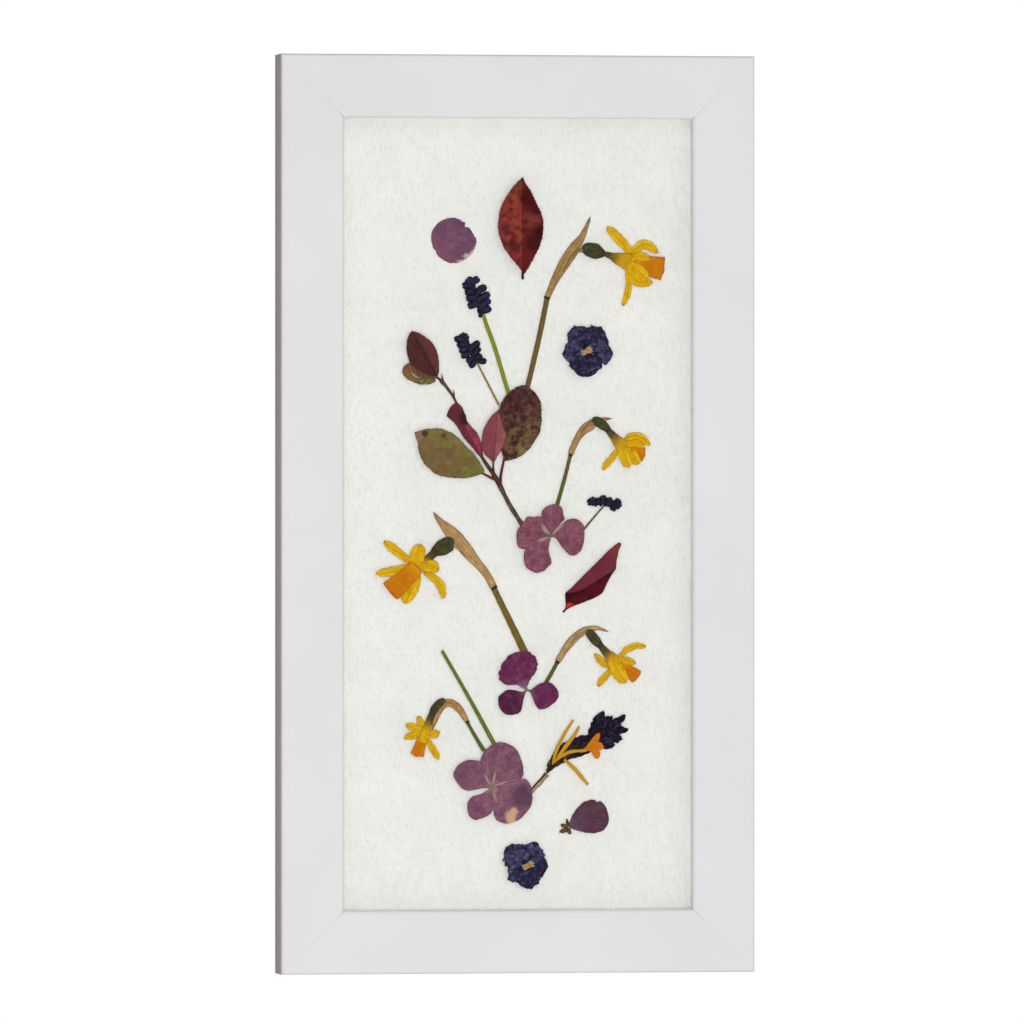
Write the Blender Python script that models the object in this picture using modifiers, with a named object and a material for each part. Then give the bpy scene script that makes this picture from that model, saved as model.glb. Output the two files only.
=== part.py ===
"""Pressed flower frame: a white wooden picture frame with dried flowers laid on textured paper.

Metres, +Z up, front towards -Y. The origin is the notch of the wall hanger in which the wall's
nail sits. The frame hangs upright below it: four mitred and rebated rails hold, from the front,
a glass pane, spacer strips, the paper sheet with its flowers, and a backing board under tabs.
"""

import math

import bmesh
import bpy
from mathutils import Matrix, Vector

MM = 0.001
GAP = 0.3 * MM  # clearance between any two neighbouring pieces
WELD = 0.01 * MM  # points closer than this are one

# Driving dimensions: the standard 230 x 500 mm picture size sets the rest.
PICTURE_WIDTH = 230 * MM
PICTURE_HEIGHT = 500 * MM
REBATE = 6 * MM  # overlap of the rails' lip over the picture
RAIL_WIDTH = 39 * MM
FRAME_DEPTH = 28 * MM
LIP_DEPTH = 5 * MM  # thickness of the lip in front of the rebate
LIP_CHAMFER = 2.4 * MM
EDGE_RADIUS = 2 * MM
EDGE_STEPS = 4
MITRE_GAP = GAP / math.sqrt(2)  # each rail's share of the joint, along its length

FRAME_WIDTH = PICTURE_WIDTH - 2 * REBATE + 2 * RAIL_WIDTH
FRAME_HEIGHT = PICTURE_HEIGHT - 2 * REBATE + 2 * RAIL_WIDTH
SLIP = 1 * MM  # play of the pane, sheet and board in the rebate
PANE_WIDTH = PICTURE_WIDTH - SLIP
PANE_HEIGHT = PICTURE_HEIGHT - SLIP

GLASS = 2 * MM
SPACER = 4.2 * MM
SPACER_WIDTH = 4.5 * MM
SHEET = 0.5 * MM
BOARD = 3 * MM

# Wall hanger: a sawtooth bar whose middle stands off the rail.
HANGER_LENGTH = 50 * MM
HANGER_TOP = 7 * MM
HANGER_METAL = 0.9 * MM
HANGER_STEP = 2 * MM
HANGER_PAD = 8 * MM  # flat end that is nailed to the rail
TOOTH_PITCH = 4 * MM
TOOTH_DEPTH = 2.4 * MM
HOOK_DROP = 18 * MM  # top edge of the frame above the hook notch
NAIL_SHANK = 0.7 * MM
NAIL_HEAD = 1.9 * MM
NAIL_HEAD_DEPTH = 0.7 * MM
NAIL_SHANK_LENGTH = 6.3 * MM
NAIL_POINT = 0.9 * MM
NAIL_HOLE = 9 * MM
NAIL_SIDES = 12

# Retaining tabs, driven into slots in the rebate wall.
TAB_LENGTH = 14 * MM
TAB_WIDTH = 8 * MM
TAB_METAL = 0.6 * MM
TAB_SEAT = 3 * MM  # how deep a tab sits in its rail
TAB_SPREAD = PICTURE_HEIGHT / 4  # height of the side tabs above and below the middle
TAB_STEPS = 8

BACK_Y = -(HANGER_STEP + HANGER_METAL / 2 + GAP)
FRONT_Y = BACK_Y - FRAME_DEPTH
CENTRE_Z = HOOK_DROP - FRAME_HEIGHT / 2
GLASS_Y = FRONT_Y + LIP_DEPTH + GAP
SPACER_Y = GLASS_Y + GLASS + GAP
SHEET_Y = SPACER_Y + SPACER + GAP  # front face of the paper
BOARD_Y = SHEET_Y + SHEET + GAP
TAB_Y = BOARD_Y + BOARD + GAP

# How high above the paper each kind of pressed piece lies.
LOW = GAP
MIDDLE = 1.8 * MM
HIGH = 2.5 * MM
STEM_THICK = 1.2 * MM
BLADE_THICK = 0.4 * MM
SEPAL_THICK = 0.6 * MM
FLOWER_THICK = 1.2 * MM
CLUSTER_THICK = 2 * MM
CROCUS_THICK = 2.2 * MM
NECK = 0.7  # half width of a leaf's petiole, in mm like the leaf's own places
BLADE_SHAPE = 0.95  # power of the sine that a leaf's width follows

# Finishes: linear colour, roughness and metallic.
FINISHES = {
    "white_paint": ((0.80, 0.80, 0.82), 0.42, 0.0),
    "clear_glass": ((0.95, 0.98, 0.97), 0.03, 0.0),
    "cream_paper": ((0.80, 0.80, 0.76), 0.9, 0.0),
    "brown_board": ((0.35, 0.22, 0.12), 0.8, 0.0),
    "spacer_plastic": ((0.78, 0.78, 0.78), 0.6, 0.0),
    "tab_steel": ((0.55, 0.55, 0.56), 0.35, 1.0),
    "zinc_plate": ((0.62, 0.62, 0.60), 0.4, 1.0),
    "stem_green": ((0.15, 0.16, 0.02), 0.6, 0.0),
    "spathe_tan": ((0.42, 0.26, 0.12), 0.7, 0.0),
    "narcissus_yellow": ((0.75, 0.42, 0.01), 0.6, 0.0),
    "thin_stem_green": ((0.22, 0.22, 0.03), 0.6, 0.0),
    "muscari_navy": ((0.02, 0.018, 0.06), 0.6, 0.0),
    "viola_violet": ((0.03, 0.025, 0.09), 0.7, 0.0),
    "hydrangea_mauve": ((0.20, 0.07, 0.10), 0.7, 0.0),
    "sprig_bark": ((0.10, 0.05, 0.035), 0.8, 0.0),
    "sprig_maroon": ((0.12, 0.03, 0.035), 0.55, 0.0),
    "sprig_olive": ((0.15, 0.11, 0.03), 0.6, 0.0),
    "leaf_red": ((0.22, 0.035, 0.02), 0.5, 0.0),
    "leaf_burgundy": ((0.14, 0.02, 0.025), 0.45, 0.0),
    "petal_mauve": ((0.17, 0.065, 0.12), 0.7, 0.0),
    "bare_stem_green": ((0.16, 0.18, 0.02), 0.6, 0.0),
    "crocus_stem_tan": ((0.40, 0.28, 0.16), 0.7, 0.0),
    "crocus_violet": ((0.02, 0.015, 0.03), 0.7, 0.0),
}


def clear_scene():
    for obj in list(bpy.data.objects):
        bpy.data.objects.remove(obj, do_unlink=True)


def new_collection(name):
    made = bpy.data.collections.new(name)
    bpy.context.scene.collection.children.link(made)
    return made


def paint(name):
    """The plain material of a named finish."""
    colour, roughness, metallic = FINISHES[name]
    mat = bpy.data.materials.new(name)
    mat.use_nodes = True
    shader = mat.node_tree.nodes["Principled BSDF"]
    shader.inputs["Base Color"].default_value = (*colour, 1.0)
    shader.inputs["Roughness"].default_value = roughness
    shader.inputs["Metallic"].default_value = metallic
    mat.diffuse_color = (*colour, 1.0)
    return mat


def add_object(name, data, mat, collection):
    obj = bpy.data.objects.new(name, data)
    data.materials.append(mat)
    collection.objects.link(obj)
    return obj


def add_mesh(name, shape, mat, collection):
    mesh = bpy.data.meshes.new(name)
    shape.to_mesh(mesh)
    shape.free()
    return add_object(name, mesh, mat, collection)


def box(name, size, place, mat, collection):
    """A block of the given size, centred in x and z on place and starting at its y."""
    shape = bmesh.new()
    bmesh.ops.create_cube(shape, size=1.0)
    bmesh.ops.scale(shape, vec=size, verts=shape.verts)
    obj = add_mesh(name, shape, mat, collection)
    obj.location = (place[0], place[1] + size[1] / 2, place[2])
    return obj


def cylinder_along_y(name, radius, start, length, place, mat, collection, sides=16):
    shape = bmesh.new()
    bmesh.ops.create_cone(
        shape,
        cap_ends=True,
        segments=sides,
        radius1=radius,
        radius2=radius,
        depth=length,
        matrix=Matrix.Rotation(math.pi / 2, 4, "X"),
    )
    obj = add_mesh(name, shape, mat, collection)
    obj.location = (place[0], start + length / 2, place[1])
    return obj


def closed_curve(name, points, half_thickness):
    data = bpy.data.curves.new(name, "CURVE")
    data.dimensions = "2D"
    data.fill_mode = "BOTH"
    data.extrude = half_thickness
    spline = data.splines.new("POLY")
    spline.points.add(len(points) - 1)
    for point, (x, z) in zip(spline.points, points):
        point.co = (x, z, 0, 1)
    spline.use_cyclic_u = True
    return data


def mesh_of_curve(curve_object, mat, collection):
    """The welded mesh of a curve object, which it replaces."""
    depsgraph = bpy.context.evaluated_depsgraph_get()
    mesh = bpy.data.meshes.new_from_object(curve_object.evaluated_get(depsgraph))
    shape = bmesh.new()
    shape.from_mesh(mesh)
    bmesh.ops.remove_doubles(shape, verts=shape.verts, dist=WELD)
    bmesh.ops.recalc_face_normals(shape, faces=shape.faces)
    name = curve_object.name
    place = curve_object.matrix_world.copy()
    bpy.data.objects.remove(curve_object)
    bpy.data.meshes.remove(mesh)
    obj = add_mesh(name, shape, mat, collection)
    obj.name = name
    obj.matrix_world = place
    return obj


def cut(obj, cutter):
    """Takes the cutter's shape out of obj with a Boolean."""
    cutter.hide_render = True
    cutter.display_type = "WIRE"
    modifier = obj.modifiers.new("cut", "BOOLEAN")
    modifier.operation = "DIFFERENCE"
    modifier.object = cutter


# Frame ---------------------------------------------------------------------------------------


def rail_section(half_size):
    """The rail's section as (distance from the frame's centre, y), for a half outer size."""
    outer = half_size
    inner = half_size - RAIL_WIDTH
    rebate_wall = inner + REBATE
    lip_back = FRONT_Y + LIP_DEPTH
    points = [(outer, BACK_Y), (rebate_wall, BACK_Y), (rebate_wall, lip_back), (inner, lip_back)]
    points += [(inner, FRONT_Y + LIP_CHAMFER), (inner + LIP_CHAMFER, FRONT_Y)]
    for step in range(EDGE_STEPS + 1):
        turn = step * math.pi / (2 * EDGE_STEPS)
        round_x = outer - EDGE_RADIUS + EDGE_RADIUS * math.sin(turn)
        round_y = FRONT_Y + EDGE_RADIUS - EDGE_RADIUS * math.cos(turn)
        points.append((round_x, round_y))
    return points


def rail(name, half_size, half_length, quarter_turns, mat, collection):
    """One rail, with its ends slid along its length to the mitre."""
    data = closed_curve(name, rail_section(half_size), half_length)
    obj = add_object(name, data, mat, collection)
    obj.location = (0, 0, CENTRE_Z)
    obj.rotation_euler = (0, (quarter_turns - 1) * math.pi / 2, 0)
    bpy.context.view_layer.update()
    obj = mesh_of_curve(obj, mat, collection)
    for vertex in obj.data.vertices:
        from_edge = half_size - vertex.co.x
        vertex.co.z = math.copysign(half_length - from_edge - MITRE_GAP, vertex.co.z)
    return obj


def build_frame(parts, cutters):
    white = paint("white_paint")
    half_w = FRAME_WIDTH / 2
    half_h = FRAME_HEIGHT / 2
    rails = {
        "top": rail("frame_rail_top", half_h, half_w, 0, white, parts),
        "right": rail("frame_rail_right", half_w, half_h, 1, white, parts),
        "bottom": rail("frame_rail_bottom", half_h, half_w, 2, white, parts),
        "left": rail("frame_rail_left", half_w, half_h, 3, white, parts),
    }
    build_tabs(rails, parts, cutters)
    build_hanger(rails["top"], parts, cutters)


def build_picture_stack(parts):
    clear = paint("clear_glass")
    paper = paint("cream_paper")
    card = paint("brown_board")
    strip = paint("spacer_plastic")
    middle = (0, GLASS_Y, CENTRE_Z)
    box("glass_pane", (PANE_WIDTH, GLASS, PANE_HEIGHT), middle, clear, parts)
    middle = (0, SHEET_Y, CENTRE_Z)
    box("paper_sheet", (PANE_WIDTH, SHEET, PANE_HEIGHT), middle, paper, parts)
    middle = (0, BOARD_Y, CENTRE_Z)
    box("backing_board", (PANE_WIDTH, BOARD, PANE_HEIGHT), middle, card, parts)
    side_x = (PANE_WIDTH - SPACER_WIDTH) / 2
    end_z = (PANE_HEIGHT - SPACER_WIDTH) / 2
    side_length = PANE_HEIGHT - 2 * SPACER_WIDTH - 2 * GAP
    for name, sign in (("spacer_left", -1), ("spacer_right", 1)):
        place = (sign * side_x, SPACER_Y, CENTRE_Z)
        box(name, (SPACER_WIDTH, SPACER, side_length), place, strip, parts)
    for name, sign in (("spacer_bottom", -1), ("spacer_top", 1)):
        place = (0, SPACER_Y, CENTRE_Z + sign * end_z)
        box(name, (PANE_WIDTH, SPACER, SPACER_WIDTH), place, strip, parts)


def tab_outline():
    """A tab seen from the back: square at its driven end, half round at the other."""
    half = TAB_WIDTH / 2
    points = [(0, -half), (TAB_LENGTH - half, -half)]
    for step in range(1, TAB_STEPS):
        turn = step * math.pi / TAB_STEPS - math.pi / 2
        points.append((TAB_LENGTH - half + half * math.cos(turn), half * math.sin(turn)))
    points += [(TAB_LENGTH - half, half), (0, half)]
    return points


def build_tabs(rails, parts, cutters):
    """Six tabs, each in a slot of its rail: two on each long side, one at each end."""
    steel = paint("tab_steel")
    wall_x = PICTURE_WIDTH / 2 + TAB_SEAT
    wall_z = PICTURE_HEIGHT / 2 + TAB_SEAT
    spots = [
        ("left", -wall_x, TAB_SPREAD, 0),
        ("left", -wall_x, -TAB_SPREAD, 0),
        ("right", wall_x, TAB_SPREAD, 2),
        ("right", wall_x, -TAB_SPREAD, 2),
        ("top", 0, wall_z, 1),
        ("bottom", 0, -wall_z, 3),
    ]
    for number, (side, x, z, quarter) in enumerate(spots, start=1):
        data = closed_curve(f"retaining_tab_{number}", tab_outline(), TAB_METAL / 2)
        tab = add_object(f"retaining_tab_{number}", data, steel, parts)
        turn = Matrix.Rotation(quarter * math.pi / 2, 4, "Y")
        lay_flat = Matrix.Rotation(math.pi / 2, 4, "X")
        place = Matrix.Translation((x, TAB_Y + TAB_METAL / 2, CENTRE_Z + z))
        tab.matrix_world = place @ turn @ lay_flat
        slot_size = (2 * (TAB_SEAT + GAP), TAB_METAL + 2 * GAP, TAB_WIDTH + 2 * GAP)
        slot = box(f"slot_{number}", slot_size, (0, -slot_size[1] / 2, 0), steel, cutters)
        inwards = turn @ Matrix.Translation((TAB_SEAT, 0, 0))
        slot.matrix_world = place @ inwards
        cut(rails[side], slot)


def hanger_stations():
    """(x, y, bottom z) along the sawtooth bar: flat pads, steps, and teeth between them."""
    pad_end = HANGER_LENGTH / 2 - HANGER_PAD
    step_end = pad_end - HANGER_STEP
    stations = [(-HANGER_LENGTH / 2, -HANGER_STEP, 0.0), (-pad_end, -HANGER_STEP, 0.0)]
    teeth = int(2 * step_end / TOOTH_PITCH)
    first = -teeth * TOOTH_PITCH / 2
    for notch in range(teeth + 1):
        x = first + notch * TOOTH_PITCH
        stations.append((x, 0.0, 0.0))
        if notch < teeth:
            stations.append((x + TOOTH_PITCH / 2, 0.0, -TOOTH_DEPTH))
    stations += [(pad_end, -HANGER_STEP, 0.0), (HANGER_LENGTH / 2, -HANGER_STEP, 0.0)]
    return stations


def build_hanger(top_rail, parts, cutters):
    """The stepped sawtooth bar and its two nails, with holes for them in bar and rail."""
    zinc = paint("zinc_plate")
    shape = bmesh.new()
    previous = None
    for x, y, bottom in hanger_stations():
        pair = (shape.verts.new((x, y, HANGER_TOP)), shape.verts.new((x, y, bottom)))
        if previous:
            shape.faces.new((previous[0], previous[1], pair[1], pair[0]))
        previous = pair
    hanger = add_mesh("wall_hanger", shape, zinc, parts)
    sheet = hanger.modifiers.new("metal", "SOLIDIFY")
    sheet.thickness = HANGER_METAL
    sheet.offset = 0
    pad_middle = HANGER_LENGTH / 2 - HANGER_PAD / 2
    pad_face = -HANGER_STEP + HANGER_METAL / 2
    for side, sign in (("left", -1), ("right", 1)):
        place = (sign * pad_middle, HANGER_TOP / 2)
        hole = (NAIL_SHANK + GAP, pad_face - NAIL_HOLE, NAIL_HOLE + 2 * GAP)
        drill = cylinder_along_y(f"nail_hole_{side}", *hole, place, zinc, cutters)
        cut(hanger, drill)
        cut(top_rail, drill)
        build_nail(f"hanger_nail_{side}", pad_face + GAP, place, zinc, parts)


def build_nail(name, head_y, place, mat, parts):
    """A round nail turned about its own length: a shank into the rail and a low domed head."""
    dome = NAIL_HEAD_DEPTH
    profile = [(0.0, dome), (0.6 * NAIL_HEAD, 0.8 * dome), (NAIL_HEAD, 0.25 * dome)]
    profile += [(NAIL_HEAD, 0.0), (NAIL_SHANK, 0.0), (NAIL_SHANK, -NAIL_SHANK_LENGTH)]
    profile.append((0.0, -NAIL_SHANK_LENGTH - NAIL_POINT))
    shape = bmesh.new()
    points = [shape.verts.new((radius, 0, z)) for radius, z in profile]
    for first, second in zip(points, points[1:]):
        shape.edges.new((first, second))
    nail = add_mesh(name, shape, mat, parts)
    nail.location = (place[0], head_y, place[1])
    nail.rotation_euler = (-math.pi / 2, 0, 0)
    turned = nail.modifiers.new("turned", "SCREW")
    turned.steps = NAIL_SIDES
    turned.render_steps = NAIL_SIDES
    turned.use_merge_vertices = True
    turned.merge_threshold = WELD


# Specimens: places are in millimetres on the sheet, x to the right and z up from its middle. --


def on_sheet(level):
    """The place on the paper that the specimens' own coordinates start from."""
    return (0, SHEET_Y - level, CENTRE_Z)


def flat_piece(name, points, level, thickness, mat, collection):
    """A flat pressed piece with the given outline in millimetres."""
    outline = [(x * MM, z * MM) for x, z in points]
    obj = add_object(name, closed_curve(name, outline, thickness / 2), mat, collection)
    obj.location = on_sheet(level + thickness / 2)
    obj.rotation_euler = (math.pi / 2, 0, 0)
    return obj


def smooth_path(points, steps):
    """A Catmull-Rom curve through points of any size, with steps to a stretch."""
    ends = [tuple(2 * a - b for a, b in zip(points[0], points[1]))]
    ends += list(points)
    ends.append(tuple(2 * a - b for a, b in zip(points[-1], points[-2])))
    path = []
    for p0, p1, p2, p3 in zip(ends, ends[1:], ends[2:], ends[3:]):
        for step in range(steps):
            t = step / steps
            place = []
            for a, b, c, d in zip(p0, p1, p2, p3):
                bend = 2 * b + (c - a) * t + (2 * a - 5 * b + 4 * c - d) * t * t
                place.append((bend + (3 * b - a - 3 * c + d) * t**3) / 2)
            path.append(tuple(place))
    return path + [tuple(points[-1])]


def pressed_stem(name, stations, mat, collection, steps=4):
    """A stem pressed oval. Stations are (x, z, width) in millimetres."""
    path = smooth_path(stations, steps)
    widest = max(width for _, _, width in stations) * MM
    data = bpy.data.curves.new(name, "CURVE")
    data.dimensions = "3D"
    data.bevel_depth = widest / 2
    data.bevel_resolution = 2
    data.use_fill_caps = True
    spline = data.splines.new("POLY")
    spline.points.add(len(path) - 1)
    for point, (x, z, width) in zip(spline.points, path):
        point.co = (x * MM, 0, z * MM, 1)
        point.radius = width * MM / widest
    obj = add_object(name, data, mat, collection)
    obj.location = on_sheet(LOW + STEM_THICK / 2)
    obj.scale = (1, STEM_THICK / widest, 1)
    return obj


def ribbon_outline(stations, steps=4):
    """The outline of a band of changing width. Stations are (x, z, width)."""
    path = smooth_path(stations, steps)
    left = []
    right = []
    for index, (x, z, width) in enumerate(path):
        before = path[max(index - 1, 0)]
        after = path[min(index + 1, len(path) - 1)]
        along = Vector((after[0] - before[0], after[1] - before[1])).normalized()
        side = Vector((-along.y, along.x)) * width / 2
        left.append((x + side.x, z + side.y))
        right.append((x - side.x, z - side.y))
    return left + right[::-1]


def leaf_outline(base, tip, left, right, petiole=4.0, bow=0.0, steps=9):
    """A leaf from the foot of its petiole to its tip, with its half widths, all in mm."""
    foot = Vector(base)
    along = Vector(tip) - foot
    blade = along.length - petiole
    along.normalize()
    across = Vector((-along.y, along.x))
    sides = {left: [], -right: []}
    for step in range(1, steps):
        t = step / steps
        middle = foot + along * (petiole + blade * t) + across * bow * math.sin(math.pi * t)
        for half_width, points in sides.items():
            points.append(middle + across * half_width * math.sin(math.pi * t) ** BLADE_SHAPE)
    neck = across * NECK
    outline = [foot + neck, foot + along * petiole + neck, *sides[left], Vector(tip)]
    outline += [*sides[-right][::-1], foot + along * petiole - neck, foot - neck]
    return [tuple(point) for point in outline]


def lobe_reach(turn, lobe):
    """How far an elliptic lobe (angle in degrees, length, width) reaches along a direction."""
    angle, length, width = lobe
    off_axis = turn - math.radians(angle)
    if math.cos(off_axis) <= 0:
        return 0.0
    along = max(0.3 * length, width / 2)
    middle = length - along
    a = (math.cos(off_axis) / along) ** 2 + (math.sin(off_axis) / (width / 2)) ** 2
    b = -2 * middle * math.cos(off_axis) / along**2
    c = (middle / along) ** 2 - 1
    inside = b * b - 4 * a * c
    return (-b + math.sqrt(inside)) / (2 * a) if inside > 0 else 0.0


def lobed_outline(centre, lobes, core, samples):
    """The outline of lobes that all spread from one centre, with a round core, in mm."""
    outline = []
    for index in range(samples):
        turn = 2 * math.pi * index / samples
        reach = max([core] + [lobe_reach(turn, lobe) for lobe in lobes])
        outline.append((centre[0] + reach * math.cos(turn), centre[1] + reach * math.sin(turn)))
    return outline


def build_narcissi(parts):
    """Five small narcissi. A flower's lobes are its tepals, its corona, and last its ovary."""
    green = paint("stem_green")
    tan = paint("spathe_tan")
    yellow = paint("narcissus_yellow")
    stems = [
        [(19.3, 131.5, 3.0), (14.5, 109.5, 3.2), (8.0, 82.0, 3.2), (5.5, 73.5, 3.2)],
        [(33.4, 34.5, 1.9), (29.0, 19.0, 2.2), (25.0, 4.5, 2.4)],
        [(-13.0, -47.5, 3.0), (-4.0, -66.0, 3.8), (5.5, -85.5, 4.6)],
        [(25.0, -93.2, 2.0), (21.5, -99.0, 2.3), (18.5, -104.0, 2.5)],
        [(-30.0, -129.5, 1.8), (-25.5, -137.0, 2.2), (-20.5, -146.0, 2.6)],
    ]
    spathes = [
        [(20.0, 133.8, 4.0), (29.0, 151.0, 7.5), (38.0, 166.0, 7.0), (46.0, 182.5, 0.8)],
        [(34.2, 37.0, 3.0), (40.0, 51.0, 3.6), (47.0, 56.5, 6.5), (59.5, 59.0, 0.8)],
        [(-14.6, -44.6, 4.0), (-27.0, -26.0, 7.5), (-38.0, -11.5, 7.5), (-51.0, 1.0, 0.8)],
        [(26.4, -90.8, 2.6), (32.5, -81.5, 3.8), (41.0, -74.0, 4.4), (57.0, -73.0, 0.8)],
        [(-31.6, -127.2, 2.8), (-38.0, -118.0, 3.8), (-45.0, -117.0, 3.6), (-53.0, -133.5, 0.8)],
    ]
    centres = [(72.0, 155.0), (68.0, 41.0), (-62.0, -32.0), (63.0, -92.0), (-56.5, -136.0)]
    flowers = [
        [(124, 26, 6), (28, 18, 6), (-20, 17, 6), (-45, 17, 7), (-97, 26, 4.5), (-9, 20, 15)],
        [(10, 16, 8), (-45, 16, 10), (-136, 19, 4), (-20, 13, 9)],
        [(78, 13, 8), (146, 25, 5), (191, 26, 5.5), (-8, 14, 7), (-42, 25, 5.5), (222, 25, 14)],
        [(32, 21, 4), (3, 12, 5), (-66, 13, 8), (158, 14, 4), (-128, 18, 4), (-22, 14, 7)],
        [(116, 12, 4.5), (158, 13, 5), (178, 14, 4.5), (8, 9, 6), (-63, 17, 4.5), (244, 14, 8)],
    ]
    ovaries = [(162, 32, 9), (134, 26, 7), (37, 29, 10), (133, 25, 7), (64, 24, 5)]
    for index, stem in enumerate(stems):
        name = f"narcissus_{index + 1}"
        pressed_stem(f"{name}_stem", stem, green, parts)
        outline = ribbon_outline(spathes[index])
        flat_piece(f"{name}_spathe", outline, LOW, FLOWER_THICK, tan, parts)
        lobes = flowers[index] + [ovaries[index]]
        outline = lobed_outline(centres[index], lobes, 3.0, samples=90)
        flat_piece(f"{name}_flower", outline, MIDDLE, FLOWER_THICK, yellow, parts)


def build_muscari(parts):
    """Three grape hyacinths: a thin stem and a cluster of dark florets."""
    green = paint("thin_stem_green")
    navy = paint("muscari_navy")
    heads = [
        [(-27.5, 146.0, 7), (-25.5, 140.0, 17), (-23.0, 129.0, 18), (-20.5, 123.5, 6)],
        [(-35.0, 110.5, 7), (-31.5, 104.5, 17), (-26.5, 97.0, 15), (-24.0, 92.0, 6)],
        [(44.5, 7.0, 3), (50.0, 8.5, 5.5), (56.5, 8.0, 8), (61.5, 5.5, 8), (66.0, 7.0, 3)],
    ]
    stems = [
        [(-20.0, 122.8, 2.2), (-13.5, 103.5, 2.4), (-4.5, 74.0, 2.6)],
        [(-23.6, 91.2, 1.2), (-17.0, 78.5, 1.2), (-10.5, 67.0, 1.3)],
        [(54.5, 3.0, 1.0), (49.5, -2.0, 1.1), (42.0, -10.0, 1.2)],
    ]
    for index, (head, stem) in enumerate(zip(heads, stems), start=1):
        outline = ribbon_outline(head, steps=5)
        flat_piece(f"muscari_{index}_head", outline, LOW, CLUSTER_THICK, navy, parts)
        pressed_stem(f"muscari_{index}_stem", stem, green, parts, steps=2)


def build_violas(parts):
    """Two violas, each of five ragged petals round an eye."""
    violet = paint("viola_violet")
    eyes = [(44.0, 100.5), (7.0, -216.0)]
    petals = [
        [(115, 17, 17), (58, 18, 18), (185, 15, 16), (-12, 16, 17), (-95, 14.5, 24)],
        [(140, 16, 16), (72, 14, 15), (205, 15, 13), (-10, 12, 14), (-95, 15, 20)],
    ]
    for index, (eye, lobes) in enumerate(zip(eyes, petals), start=1):
        outline = lobed_outline(eye, lobes, 6.0, samples=48)
        flat_piece(f"viola_{index}", outline, LOW, FLOWER_THICK, violet, parts)


def build_hydrangeas(parts):
    """Three hydrangea florets of broad sepals, laid over the feet of the stems."""
    mauve = paint("hydrangea_mauve")
    florets = [
        ((21.0, -13.0), [(80, 19, 14.5), (-5, 21.5, 22), (242, 25, 17), (177, 21.5, 20)]),
        ((6.5, -108.5), [(113, 25, 25), (-12, 20.5, 16.5), (216, 20, 15.5)]),
        ((-15.5, -168.5), [(69, 29, 26), (153, 25, 20), (239, 22.5, 16), (-35, 27, 27)]),
    ]
    for index, (centre, lobes) in enumerate(florets, start=1):
        outline = lobed_outline(centre, lobes, 1.5, samples=72)
        flat_piece(f"hydrangea_{index}", outline, MIDDLE, SEPAL_THICK, mauve, parts)


def build_sprig(parts):
    """A photinia sprig: one woody stem and six leaves whose petioles reach over it."""
    bark = paint("sprig_bark")
    maroon = paint("sprig_maroon")
    olive = paint("sprig_olive")
    stem = [(-49.0, 83.0, 1.4), (-42.5, 78.0, 1.8), (-37.5, 68.5, 1.4), (-25.5, 42.0, 1.6)]
    stem += [(-18.5, 31.0, 2.0), (-12.5, 21.0, 3.2), (-5.5, 8.0, 2.6), (5.0, -7.0, 2.6)]
    pressed_stem("sprig_stem", stem, bark, parts, steps=3)
    leaves = [
        ("sprig_leaf_tip", (-49.5, 82.0), (-66.0, 112.0), 8.5, 8.5, 2, 0, MIDDLE, maroon),
        ("sprig_leaf_maroon", (-19.0, 30.0), (-40.0, 67.0), 4.5, 6.0, 3, 0.5, MIDDLE, maroon),
        ("sprig_leaf_rose", (-13.5, 22.5), (-11.5, 64.5), 9.0, 6.5, 7, 0, HIGH, maroon),
        ("sprig_leaf_olive", (-15.0, 21.0), (-64.5, 49.5), 14.0, 11.0, 5, 0, MIDDLE, olive),
        ("sprig_leaf_spotted", (-10.5, 17.0), (5.0, 79.0), 14.0, 14.0, 14, -3, MIDDLE, olive),
    ]
    for name, base, tip, left, right, petiole, bow, level, mat in leaves:
        outline = leaf_outline(base, tip, left, right, petiole, bow)
        flat_piece(name, outline, level, BLADE_THICK, mat, parts)
    bud = leaf_outline((-50.5, 79.5), (-71.0, 89.5), 6.0, 6.0, petiole=1.5)
    flat_piece("sprig_leaf_bud", bud, LOW, BLADE_THICK, olive, parts)


def build_loose_leaves(parts):
    """The red leaf, the folded burgundy leaf, two single petals and a bare green stem."""
    red = paint("leaf_red")
    burgundy = paint("leaf_burgundy")
    mauve = paint("petal_mauve")
    green = paint("bare_stem_green")
    outline = leaf_outline((4.0, 145.5), (4.0, 207.5), 15.5, 13.0, petiole=3, steps=12)
    flat_piece("red_leaf", outline, LOW, BLADE_THICK, red, parts)
    folded = [(30.0, -60.0, 1.5), (34.5, -54.0, 9.0), (46.0, -44.5, 13.5)]
    folded += [(57.0, -31.0, 9.5), (62.0, -23.5, 5.0), (65.8, -17.2, 1.6)]
    outline = ribbon_outline(folded)
    flat_piece("burgundy_leaf", outline, LOW, FLOWER_THICK, burgundy, parts)
    petal = lobed_outline((-40.0, 168.0), [(-40, 16.5, 16), (140, 13.5, 24)], 13.0, samples=40)
    flat_piece("mauve_petal", petal, LOW, BLADE_THICK, mauve, parts)
    outline = leaf_outline((29.5, -195.0), (57.5, -184.5), 11.0, 9.5, petiole=4)
    flat_piece("dark_petal", outline, LOW, BLADE_THICK, mauve, parts)
    bare = [(-46.0, -84.0, 2.0), (-29.5, -113.0, 2.2), (-13.0, -143.0, 2.7)]
    pressed_stem("green_stem", bare, green, parts, steps=2)


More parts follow.
